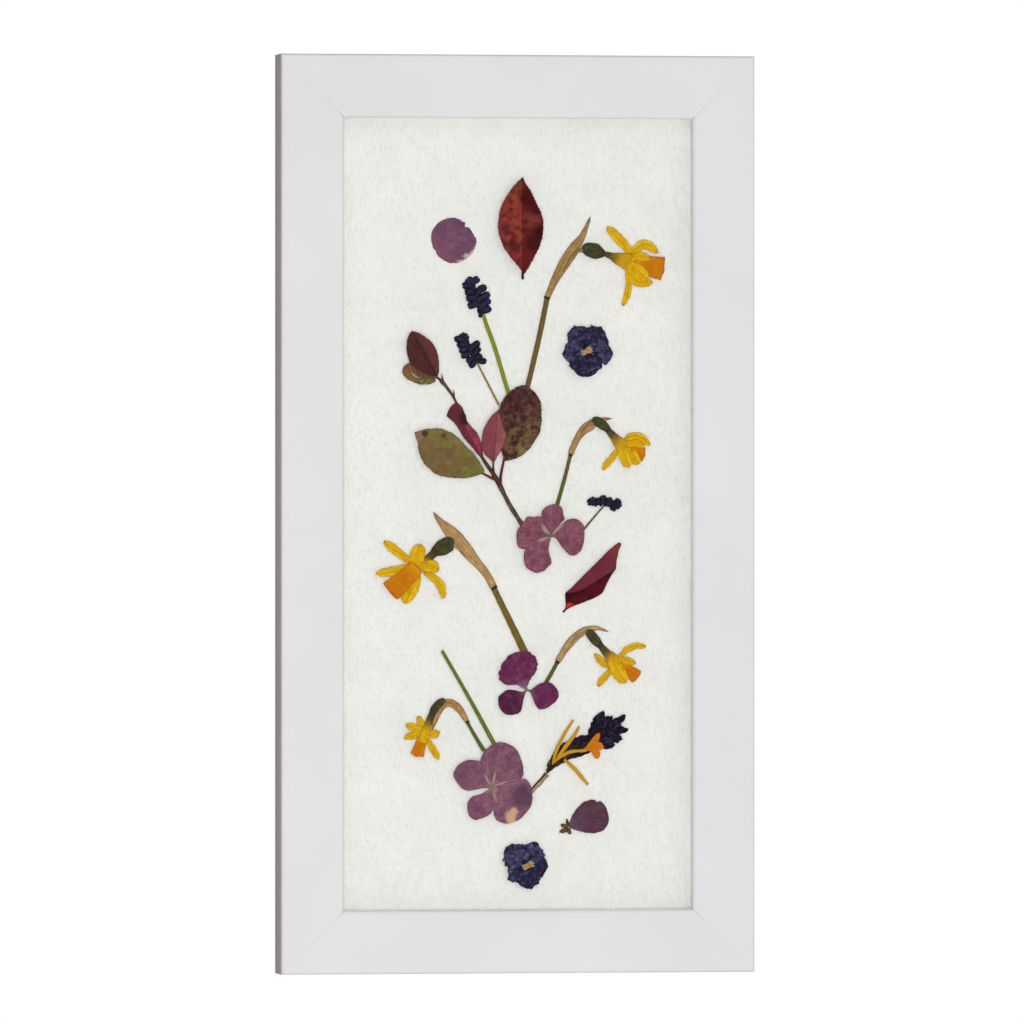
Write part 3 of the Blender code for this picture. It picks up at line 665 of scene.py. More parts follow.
def make_piece(name: str, shapes: Sequence[Shape], node: str) -> bpy.types.Object:
    """Joins shapes into one piece that stands for a node of the model.

    Args:
        name: The piece's name.
        shapes: Its blades and shoots.
        node: The node that it replaces.

    Returns:
        The new object.
    """
    shells = [shape.shell() for shape in shapes]
    points, faces, materials = [], [], []
    finishes = list(dict.fromkeys(shell.finish for shell in shells))
    for shell in shells:
        start = sum(len(block) for block in points)
        points.append(shell.points)
        faces += [tuple(start + corner for corner in face) for face in shell.faces]
        materials += [finishes.index(shell.finish)] * len(shell.faces)
    mesh = bpy.data.meshes.new(name)
    mesh.from_pydata(np.vstack(points).tolist(), [], faces)
    for finish in finishes:
        mesh.materials.append(finish.material())
    mesh.polygons.foreach_set("material_index", materials)
    for key in ("lie", "span"):
        stored = mesh.attributes.new(key, "FLOAT_VECTOR", "POINT")
        stored.data.foreach_set("vector", np.vstack([getattr(shell, key) for shell in shells]).ravel())
    shape = bmesh.new()
    shape.from_mesh(mesh)
    bmesh.ops.recalc_face_normals(shape, faces=shape.faces)
    shape.to_mesh(mesh)
    shape.free()
    mesh.shade_smooth()
    piece = bpy.data.objects.new(name, mesh)
    bpy.context.scene.collection.objects.link(piece)
    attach(piece, BODY)
    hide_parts(node)
    LOG.info("%s: %d faces, stands for %s", name, len(faces), node)
    return piece


# Finishes of the plants -----------------------------------------------------------------------


def stalk(name: str, light: Rgb, dark: Rgb) -> PressedFinish:
    """The finish of a stem: lengthwise fibres, and darker at its sides."""
    layers = (
        Layer(Pattern.FIBRE, dark, 0.75, 0.5, 0.5, 0.12, 3.0, 0.05),
        Layer(Pattern.MOTTLE, dark, 0.35, 5.0, 0.55, 0.15, 1.0),
        Layer(Pattern.RIM, dark, 0.75, 0.55),
    )
    return PressedFinish(name, light, layers, (0.45, 0.65))


def papery(name: str, light: Rgb, dark: Rgb) -> PressedFinish:
    """The finish of a spathe: dry tan skin with fine fibres and a browner edge."""
    layers = (
        Layer(Pattern.FIBRE, dark, 0.6, 0.8, 0.52, 0.12, 5.0, 0.06),
        Layer(Pattern.MOTTLE, tuple(min(255, 1.12 * c) for c in light), 0.5, 4.0, 0.55, 0.1, 4.0),
        Layer(Pattern.RIM, dark, 0.8, 0.8),
        Layer(Pattern.TIP, dark, 0.5, 1.0, 0.9, 0.1),
    )
    return PressedFinish(name, light, layers, (0.55, 0.75))


def sepal(name: str, colour: Rgb, dark: Rgb, pale: Rgb, pale_reach: float, pale_amount: float) -> PressedFinish:
    """The finish of a hydrangea sepal: wrinkles, veins that fan out, and paler near its base."""
    light = tuple(0.6 * part + 0.4 * other for part, other in zip(colour, pale))
    layers = (
        Layer(Pattern.MOTTLE, dark, 0.75, 5.0, 0.52, 0.12, 6.0),
        Layer(Pattern.MOTTLE, light, 0.4, 4.0, 0.56, 0.14, 16.0),
        Layer(Pattern.NET, dark, 0.45, 2.6, 0.5, 0.1, 2.0, -0.12),
        Layer(Pattern.FAN, dark, 0.6, 0.13, 1.3, 0.14, 1.0, -0.08),
        Layer(Pattern.FAN, pale, pale_amount, 0.11, pale_reach, 0.14, 4.0, 0.06),
        Layer(Pattern.BASE, pale, pale_amount, 1.0, 0.1, 0.12, 3.0),
        Layer(Pattern.RIM, dark, 0.6, 0.9),
    )
    return PressedFinish(name, colour, layers, (0.6, 0.8), grain=0.06, grain_size=0.9)


OVARY = PressedFinish(
    "ovary_dark_olive",
    (72, 72, 44),
    (
        Layer(Pattern.MOTTLE, (96, 94, 60), 0.8, 2.0, 0.55, 0.1, 2.0, 0.05),
        Layer(Pattern.FIBRE, (50, 50, 30), 0.5, 0.8, 0.5, 0.1, 3.0, 0.04),
        Layer(Pattern.TIP, (70, 44, 30), 0.8, 1.0, 0.8, 0.1),
        Layer(Pattern.RIM, (44, 44, 28), 0.85, 0.9),
    ),
    (0.35, 0.55),
)
FLOWER_TUBE = PressedFinish(
    "perianth_tube",
    (88, 80, 44),
    (
        Layer(Pattern.FIBRE, (62, 54, 30), 0.7, 0.8, 0.5, 0.1, 1.0, 0.05),
        Layer(Pattern.TIP, (198, 152, 26), 1.0, 1.0, 0.5, 0.3, 2.0),
    ),
    (0.5, 0.7),
)
TEPAL = PressedFinish(
    "tepal_yellow",
    (238, 192, 14),
    (
        Layer(Pattern.FIBRE, (206, 150, 4), 0.75, 1.1, 0.5, 0.14, 2.0, 0.12),
        Layer(Pattern.FIBRE, (250, 216, 60), 0.6, 1.6, 0.6, 0.08, 8.0, 0.08),
        Layer(Pattern.MOTTLE, (190, 132, 6), 0.6, 3.4, 0.6, 0.1, 11.0, -0.06),
        Layer(Pattern.MIDRIB, (184, 128, 6), 0.55, 0.45, 0.5, 0.2, 0.0, -0.1),
        Layer(Pattern.BASE, (190, 146, 16), 0.7, 1.0, 0.1, 0.12),
        Layer(Pattern.RIM, (200, 142, 6), 0.7, 0.45),
    ),
    (0.5, 0.7),
)
CORONA = PressedFinish(
    "corona_orange",
    (208, 126, 4),
    (
        Layer(Pattern.FIBRE, (186, 100, 2), 0.6, 2.0, 0.52, 0.16, 4.0, 0.1),
        Layer(Pattern.MOTTLE, (220, 142, 14), 0.5, 4.0, 0.56, 0.14, 2.0),
        Layer(Pattern.BASE, (222, 156, 10), 0.6, 1.0, 0.25, 0.25),
        Layer(Pattern.RIM, (182, 88, 0), 0.7, 0.8),
    ),
    (0.5, 0.7),
)
NODE_RING = PressedFinish(
    "stem_node_brown", (76, 54, 32), (Layer(Pattern.MOTTLE, (38, 28, 18), 0.8, 1.0, 0.5, 0.1),), (0.6, 0.8)
)
MUSCARI = PressedFinish(
    "grape_hyacinth_navy",
    (38, 36, 66),
    (
        # painted sheen: the first layer lays lighter violet-blue patches on the raised parts of the florets
        Layer(Pattern.MOTTLE, (60, 58, 102), 0.8, 2.4, 0.55, 0.1, 3.0, 0.1),
        Layer(Pattern.MOTTLE, (24, 22, 40), 0.8, 1.8, 0.56, 0.1, 7.0),
        Layer(Pattern.RIM, (14, 12, 22), 0.95, 1.3),
        Layer(Pattern.BASE, (44, 46, 46), 0.8, 1.0, 0.2, 0.15),
        Layer(Pattern.MOTTLE, (150, 150, 142), 0.7, 0.9, 0.72, 0.02, 9.0),
    ),
    (0.5, 0.7),
    grain=0.08,
)
VIOLA = PressedFinish(
    "viola_violet",
    (72, 68, 104),
    (
        # painted shade and highlights: the first three layers darken the dips and lighten the raised crinkles
        Layer(Pattern.MOTTLE, (30, 28, 44), 0.9, 3.4, 0.54, 0.08, 3.0, -0.12),
        Layer(Pattern.MOTTLE, (98, 96, 138), 0.8, 2.4, 0.58, 0.07, 5.0, 0.12),
        Layer(Pattern.MOTTLE, (140, 142, 160), 0.7, 1.5, 0.68, 0.05, 8.0, 0.12),
        Layer(Pattern.FAN, (34, 32, 58), 0.6, 0.24, 1.4, 0.14, 5.0, -0.12),
        Layer(Pattern.BASE, (20, 16, 26), 0.9, 1.0, 0.22, 0.07, 4.0),
        Layer(Pattern.RIM, (30, 26, 42), 0.85, 1.3),
    ),
    (0.55, 0.8),
    grain=0.1,
)
# The same layers, the painted shade and highlights of the crinkles included, at 0.6 of their strength.
VIOLA_DARK = PressedFinish(
    "viola_near_black", (40, 36, 64), tuple(replace(layer, amount=0.6 * layer.amount) for layer in VIOLA.layers), (0.55, 0.8)
)
VIOLA_EYE = PressedFinish(
    "viola_eye_orange",
    (222, 158, 78),
    (Layer(Pattern.MOTTLE, (150, 92, 40), 0.8, 1.2, 0.5, 0.1, 1.0, 0.1),),
)
VIOLA_BEARD = PressedFinish(
    "viola_beard_cream",
    (206, 198, 160),
    (Layer(Pattern.FIBRE, (140, 132, 108), 0.6, 0.5, 0.5, 0.1), Layer(Pattern.TIP, (128, 124, 132), 0.7, 1.0, 0.7, 0.2)),
)
PALE_FOLD = PressedFinish(
    "folded_sepal_edge",
    (184, 158, 152),
    (
        Layer(Pattern.FIBRE, (150, 112, 118), 0.7, 0.7, 0.5, 0.12, 2.0, 0.05),
        Layer(Pattern.TIP, (140, 88, 104), 0.9, 1.0, 0.75, 0.2),
    ),
)
FLORET_EYE = PressedFinish(
    "floret_centre",
    (168, 156, 120),
    (Layer(Pattern.MOTTLE, (96, 76, 40), 0.8, 0.8, 0.5, 0.1, 1.0, 0.08),),
)
BARK = PressedFinish(
    "sprig_bark",
    (96, 74, 58),
    (
        Layer(Pattern.BASE, (120, 66, 58), 0.85, 1.0, 0.42, 0.14),
        Layer(Pattern.FIBRE, (58, 40, 32), 0.75, 0.7, 0.52, 0.1, 2.0, 0.1),
        Layer(Pattern.MOTTLE, (136, 112, 92), 0.7, 1.4, 0.6, 0.06, 4.0, 0.1),
        Layer(Pattern.RIM, (54, 38, 32), 0.7, 0.6),
    ),
    (0.6, 0.85),
)
LEAF_DARK_MAROON = PressedFinish(
    "leaf_dark_maroon",
    (88, 42, 42),
    (
        Layer(Pattern.MOTTLE, (68, 34, 36), 0.8, 6.0, 0.5, 0.14, 2.0),
        Layer(Pattern.RIGHT, (108, 56, 54), 0.7, 1.0, 0.25, 0.12),
        Layer(Pattern.NET, (104, 56, 54), 0.35, 3.0, 0.5, 0.1, 4.0, 0.05),
        Layer(Pattern.PINNATE, (64, 32, 34), 0.4, 5.0, 0.5, 0.1, 0.0, 0.06),
        Layer(Pattern.MIDRIB, (54, 28, 28), 0.8, 0.7, 0.5, 0.2, 0.0, 0.1),
        Layer(Pattern.RIM, (60, 32, 32), 0.7, 1.0),
    ),
    (0.42, 0.62),
)
LEAF_BUD = PressedFinish(
    "leaf_brown_green",
    (112, 78, 52),
    (
        Layer(Pattern.LEFT, (118, 108, 56), 0.9, 1.0, 0.0, 0.25),
        Layer(Pattern.TIP, (134, 84, 58), 0.8, 1.0, 0.72, 0.12),
        Layer(Pattern.MOTTLE, (80, 56, 40), 0.75, 2.6, 0.55, 0.07, 1.0),
        Layer(Pattern.PINNATE, (150, 136, 88), 0.5, 3.2, 0.5, 0.12, 0.0, 0.08),
        Layer(Pattern.RIM, (80, 58, 38), 0.7, 0.8),
    ),
)
LEAF_MAROON = PressedFinish(
    "leaf_maroon_rose",
    (112, 42, 56),
    (
        Layer(Pattern.RIGHT, (158, 70, 88), 0.95, 1.0, -0.1, 0.12, 2.0),
        Layer(Pattern.MOTTLE, (96, 38, 50), 0.65, 4.0, 0.52, 0.1, 3.0),
        Layer(Pattern.NET, (124, 50, 66), 0.5, 2.4, 0.5, 0.12, 3.0, 0.05),
        Layer(Pattern.TIP, (94, 42, 48), 0.9, 1.0, 0.72, 0.1),
        Layer(Pattern.SPOT, (50, 26, 28), 0.95, 3.4, 27.0, 1.2, -1.5),
        Layer(Pattern.PINNATE, (128, 48, 62), 0.4, 4.5, 0.5, 0.1, 0.0, 0.05),
        Layer(Pattern.RIM, (84, 38, 44), 0.6, 0.7),
    ),
    (0.42, 0.6),
)
LEAF_ROSE = PressedFinish(
    "leaf_rose",
    (166, 98, 100),
    (
        Layer(Pattern.LEFT, (134, 62, 72), 0.9, 1.0, 0.05, 0.12),
        Layer(Pattern.MOTTLE, (126, 62, 70), 0.6, 5.0, 0.54, 0.14, 5.0),
        Layer(Pattern.PINNATE, (180, 116, 112), 0.22, 3.6, 0.5, 0.12, 0.0, 0.06),
        Layer(Pattern.NET, (120, 60, 68), 0.4, 1.8, 0.5, 0.14, 3.0, -0.05),
        Layer(Pattern.MIDRIB, (104, 50, 54), 0.9, 0.55, 0.5, 0.2, 0.0, 0.14),
        Layer(Pattern.RIM, (108, 52, 58), 0.85, 0.9),
    ),
    (0.42, 0.6),
)
LEAF_OLIVE = PressedFinish(
    "leaf_olive",
    (124, 102, 62),
    (
        Layer(Pattern.RIGHT, (126, 116, 56), 0.8, 1.0, 0.2, 0.3, 2.0),
        Layer(Pattern.BASE, (118, 122, 52), 0.7, 1.0, 0.3, 0.16, 6.0),
        Layer(Pattern.MOTTLE, (108, 82, 54), 0.75, 6.0, 0.52, 0.12, 4.0),
        Layer(Pattern.MOTTLE, (142, 122, 78), 0.5, 3.0, 0.58, 0.12, 8.0),
        Layer(Pattern.PINNATE, (98, 80, 46), 0.3, 5.0, 0.5, 0.1, 0.0, 0.07),
        Layer(Pattern.MOTTLE, (72, 50, 44), 0.8, 2.6, 0.66, 0.04, 12.0),
        Layer(Pattern.MIDRIB, (138, 122, 74), 0.5, 0.5, 0.5, 0.2, 0.0, 0.1),
        Layer(Pattern.TIP, (150, 112, 98), 0.7, 1.0, 0.9, 0.06),
        Layer(Pattern.SPOT, (66, 38, 46), 0.9, 2.3, 44.0, 0.5, -3.0),
        Layer(Pattern.SPOT, (76, 50, 48), 0.8, 1.7, 33.0, 0.5, -7.5),
        Layer(Pattern.RIM, (92, 70, 44), 0.8, 0.9),
    ),
    (0.5, 0.7),
)
LEAF_SPOTTED = PressedFinish(
    "leaf_spotted",
    (122, 96, 58),
    (
        Layer(Pattern.TIP, (108, 70, 64), 0.85, 1.0, 0.66, 0.16, 2.0),
        Layer(Pattern.RIGHT, (130, 112, 60), 0.75, 1.0, 0.35, 0.3),
        Layer(Pattern.MOTTLE, (94, 58, 54), 0.85, 8.0, 0.5, 0.1, 7.0),
        Layer(Pattern.TIP, (74, 38, 42), 0.7, 1.0, 0.56, 0.12, 9.0),
        Layer(Pattern.MOTTLE, (60, 28, 34), 0.95, 5.5, 0.53, 0.09, 21.0),
        Layer(Pattern.MOTTLE, (58, 28, 34), 0.9, 3.4, 0.6, 0.08, 15.0),
        Layer(Pattern.MOTTLE, (140, 112, 84), 0.4, 3.0, 0.62, 0.1, 31.0),
        Layer(Pattern.PINNATE, (96, 72, 46), 0.3, 6.0, 0.5, 0.1, 0.0, 0.08),
        Layer(Pattern.MIDRIB, (92, 58, 50), 0.6, 0.6, 0.5, 0.2, 0.0, 0.12),
        Layer(Pattern.RIM, (84, 58, 44), 0.75, 1.0),
    ),
    (0.5, 0.7),
)
LEAF_RED = PressedFinish(
    "leaf_red",
    (160, 70, 48),
    (
        Layer(Pattern.MOTTLE, (142, 52, 44), 0.85, 8.0, 0.5, 0.14, 3.0),
        Layer(Pattern.MOTTLE, (122, 42, 40), 0.6, 3.4, 0.58, 0.12, 23.0),
        Layer(Pattern.TIP, (104, 56, 38), 0.75, 1.0, 0.84, 0.12, 1.0),
        Layer(Pattern.RIM, (112, 40, 40), 0.8, 2.4),
        Layer(Pattern.SPOT, (128, 44, 54), 0.7, 6.0, 29.0, 0.7, 11.0),
        Layer(Pattern.SPOT, (84, 34, 36), 0.85, 3.6, 17.5, 1.0, 6.0),
        Layer(Pattern.BASE, (122, 30, 32), 0.85, 1.0, 0.2, 0.1, 2.0),
        Layer(Pattern.RIGHT, (104, 26, 26), 0.98, 1.0, 0.0, 0.05, 5.0),
        Layer(Pattern.SPOT, (124, 54, 50), 0.75, 5.4, 34.0, 0.9, -6.0),
        Layer(Pattern.SPOT, (72, 8, 10), 0.95, 5.4, 47.5, 1.1, -4.5),
        Layer(Pattern.SPOT, (76, 10, 12), 0.9, 3.6, 41.0, 1.1, -9.5),
        Layer(Pattern.SPOT, (56, 8, 12), 0.95, 4.8, 25.5, 1.1, -11.5),
        Layer(Pattern.SPOT, (62, 12, 18), 0.85, 4.0, 19.0, 1.1, -6.5),
        Layer(Pattern.MOTTLE, (66, 12, 16), 0.7, 4.0, 0.58, 0.1, 17.0),
        Layer(Pattern.PINNATE, (104, 36, 30), 0.3, 4.0, 0.5, 0.1, 0.0, 0.06),
        Layer(Pattern.MIDRIB, (66, 18, 18), 0.95, 0.5, 0.5, 0.2, 0.0, 0.12),
    ),
    (0.36, 0.55),
)
LEAF_BURGUNDY = PressedFinish(
    "leaf_burgundy",
    (96, 12, 28),
    (
        Layer(Pattern.MOTTLE, (62, 8, 20), 0.85, 4.0, 0.52, 0.1, 4.0),
        Layer(Pattern.LEFT, (52, 6, 16), 0.8, 1.0, 0.35, 0.3, 2.0),
        Layer(Pattern.SPOT, (198, 66, 42), 0.95, 2.5, 4.2, 0.7, -0.4),
        Layer(Pattern.MIDRIB, (52, 14, 18), 0.7, 0.5, 0.5, 0.2, 0.0, -0.1),
        Layer(Pattern.RIM, (70, 12, 24), 0.7, 0.8),
    ),
    (0.45, 0.65),
)
LEAF_BURGUNDY_FLAP = PressedFinish(
    "leaf_burgundy_flap",
    (122, 50, 60),
    (
        Layer(Pattern.MOTTLE, (106, 38, 50), 0.7, 5.0, 0.52, 0.12, 4.0),
        Layer(Pattern.NET, (98, 34, 44), 0.45, 2.0, 0.5, 0.14, 4.0, -0.05),
        Layer(Pattern.TIP, (134, 62, 54), 0.7, 1.0, 0.82, 0.12),
        Layer(Pattern.RIM, (70, 14, 26), 0.85, 0.9),
    ),
    (0.5, 0.7),
)
PETAL_MAUVE = PressedFinish(
    "petal_mauve",
    (126, 84, 108),
    (
        Layer(Pattern.MOTTLE, (104, 66, 96), 0.8, 5.0, 0.5, 0.12, 3.0),
        Layer(Pattern.MOTTLE, (142, 102, 120), 0.5, 3.4, 0.58, 0.14, 6.0, 0.06),
        Layer(Pattern.MOTTLE, (92, 60, 98), 0.6, 2.8, 0.6, 0.1, 16.0),
        Layer(Pattern.LEFT, (132, 80, 98), 0.6, 1.0, 0.45, 0.3),
        Layer(Pattern.FAN, (106, 68, 96), 0.5, 0.11, 1.4, 0.2, 2.0, 0.06),
        Layer(Pattern.RIM, (104, 66, 84), 0.5, 1.2),
        Layer(Pattern.BASE, (206, 196, 164), 0.9, 1.0, 0.06, 0.05, 4.0),
    ),
    (0.55, 0.75),
)
PETAL_PLUM = PressedFinish(
    "petal_plum",
    (100, 62, 80),
    (
        Layer(Pattern.MOTTLE, (80, 48, 64), 0.8, 5.0, 0.5, 0.12, 5.0),
        Layer(Pattern.BASE, (98, 84, 118), 0.7, 1.0, 0.2, 0.16, 2.0),
        Layer(Pattern.FAN, (106, 76, 94), 0.4, 0.12, 1.0, 0.2, 2.0, 0.06),
        Layer(Pattern.RIM, (70, 42, 54), 0.6, 1.0),
    ),
    (0.55, 0.75),
)
CALYX = PressedFinish(
    "calyx_brown",
    (112, 92, 54),
    (Layer(Pattern.MOTTLE, (62, 48, 28), 0.85, 1.2, 0.5, 0.08, 3.0, 0.1),),
    (0.6, 0.85),
)
CROCUS_VIOLET = PressedFinish(
    "crocus_violet",
    (36, 26, 46),
    (
        Layer(Pattern.FIBRE, (78, 62, 110), 0.85, 1.3, 0.56, 0.09, 3.0, 0.14),
        Layer(Pattern.MOTTLE, (16, 10, 16), 0.85, 2.2, 0.5, 0.08, 5.0, -0.14),
        Layer(Pattern.BASE, (34, 26, 18), 0.8, 1.0, 0.2, 0.12),
    ),
    (0.5, 0.8),
    grain=0.1,
)
CROCUS_OLIVE = PressedFinish(
    "crocus_olive_skin",
    (92, 78, 40),
    (
        Layer(Pattern.FIBRE, (44, 34, 20), 0.9, 0.9, 0.5, 0.08, 2.0, 0.12),
        Layer(Pattern.MOTTLE, (30, 22, 22), 0.85, 2.6, 0.5, 0.07, 4.0),
        Layer(Pattern.TIP, (40, 30, 42), 0.8, 1.0, 0.7, 0.15),
    ),
    (0.55, 0.8),
    grain=0.1,
)
FILAMENT = PressedFinish(
    "filament_yellow",
    (216, 168, 46),
    (
        Layer(Pattern.FIBRE, (182, 128, 26), 0.7, 0.6, 0.5, 0.1, 2.0, 0.08),
        Layer(Pattern.RIM, (176, 120, 20), 0.6, 0.5),
    ),
)
CROCUS_ORANGE = PressedFinish(
    "crocus_orange",
    (218, 140, 34),
    (
        Layer(Pattern.FIBRE, (188, 104, 18), 0.7, 1.0, 0.5, 0.1, 4.0, 0.08),
        Layer(Pattern.TIP, (222, 112, 26), 0.8, 1.0, 0.7, 0.2),
    ),
)


# The plants -----------------------------------------------------------------------------------


@dataclass
class Narcissus:
    """A small narcissus on its side: a stem with a node, a papery spathe and the open flower."""

    number: int
    light: Rgb
    dark: Rgb
    stem: Sequence[Station]
    spathe: Blade
    pedicel: Sequence[Station]
    ovary: Sequence[Station]
    tube: Sequence[Station]
    tepals: Sequence[tuple[Sequence[Station], float, float]]  # path, half width, level
    corona: Blade

    def build_stem(self) -> bpy.types.Object:
        """Builds the stem."""
        green = stalk(f"stem_{self.number}", self.light, self.dark)
        name = f"narcissus_{self.number}_stem"
        return make_piece(name + "_pressed", [Shoot(self.stem, green)], name)

    def build_spathe(self) -> bpy.types.Object:
        """Builds the spathe, its dark node ring and the pedicel that leaves it."""
        line = smooth_line(self.spathe.path)
        at, ahead = line[0], line[14]
        along = (ahead - at) / np.hypot(*(ahead - at)[:2])
        ring = [(*(at[:2] + along[:2] * step), self.stem[0][2] * 1.2) for step in (-1.3, -0.6, 0.2)]
        shapes: list[Shape] = [self.spathe, Shoot(ring, NODE_RING, thick=1.7)]
        brown = stalk(f"pedicel_{self.number}", SPATHE_TANS[self.number][0], SPATHE_TANS[self.number][1])
        shapes.append(Shoot(self.pedicel, brown, level=1.0, thick=1.1))
        name = f"narcissus_{self.number}_spathe"
        return make_piece(name + "_dried", shapes, name)

    def build_flower(self) -> bpy.types.Object:
        """Builds the ovary, tube, tepals and corona."""
        shapes: list[Shape] = [
            Shoot(self.ovary, OVARY, level=0.6, thick=2.2, grooves=0.03),
            Shoot(self.tube, FLOWER_TUBE, level=0.7, thick=1.5, tip_level=0.9),
        ]
        for index, (path, half, level) in enumerate(self.tepals):
            shapes.append(
                Blade(
                    path,
                    half,
                    half,
                    TEPAL,
                    Outline.TEPAL,
                    level=level,
                    fold=-0.35,
                    crinkle=0.4,
                    crinkle_size=2.8,
                    ragged=0.3,
                    frill=0.9,
                    lift=(0, 0, 0, 0.3 * (index % 3)),
                    seed=10 * self.number + index,
                    cell=0.5,
                )
            )
        shapes.append(self.corona)
        name = f"narcissus_{self.number}_flower"
        return make_piece(name + "_open", shapes, name)

    def build(self) -> None:
        """Builds the three pieces."""
        self.build_stem()
        self.build_spathe()
        self.build_flower()


def spathe(number: int, path: Sequence[Station], half: float, **options: Any) -> Blade:
    """A narcissus spathe: a long creased blade that starts at the stem's node."""
    tan = papery(f"spathe_{number}", *SPATHE_TANS[number])
    settings: dict[str, Any] = {"fold": -0.35, "crinkle": 0.22, "foot": 0.5, "ragged": 0.12, "level": 1.0}
    settings.update(options)
    return Blade(path, half, half, tan, Outline.SPATHE, seed=number, cell=0.5, **settings)


def corona(path: Sequence[Station], half: float, level: float, seed: int) -> Blade:
    """A narcissus corona: a short cup pressed flat, straight at its sides and frilled at its mouth."""
    flare = [(0.02, 0.66), (0.1, 0.74), (0.5, 0.86), (0.85, 0.98), (0.95, 1.0), (0.99, 0.9)]
    return Blade(
        path, half, half, CORONA, edges=[(at, half * share, half * share) for at, share in flare], level=level,
        crinkle=0.3, crinkle_size=2.6, frill=0.8, ragged=0.15, seed=seed, cell=0.4,
    )  # fmt: skip


SPATHE_TANS: dict[int, tuple[Rgb, Rgb]] = {
    1: ((172, 138, 88), (118, 86, 44)),
    2: ((178, 140, 98), (118, 86, 50)),
    3: ((194, 154, 104), (124, 86, 44)),
    4: ((190, 156, 110), (130, 98, 56)),
    5: ((192, 148, 94), (132, 92, 46)),
}


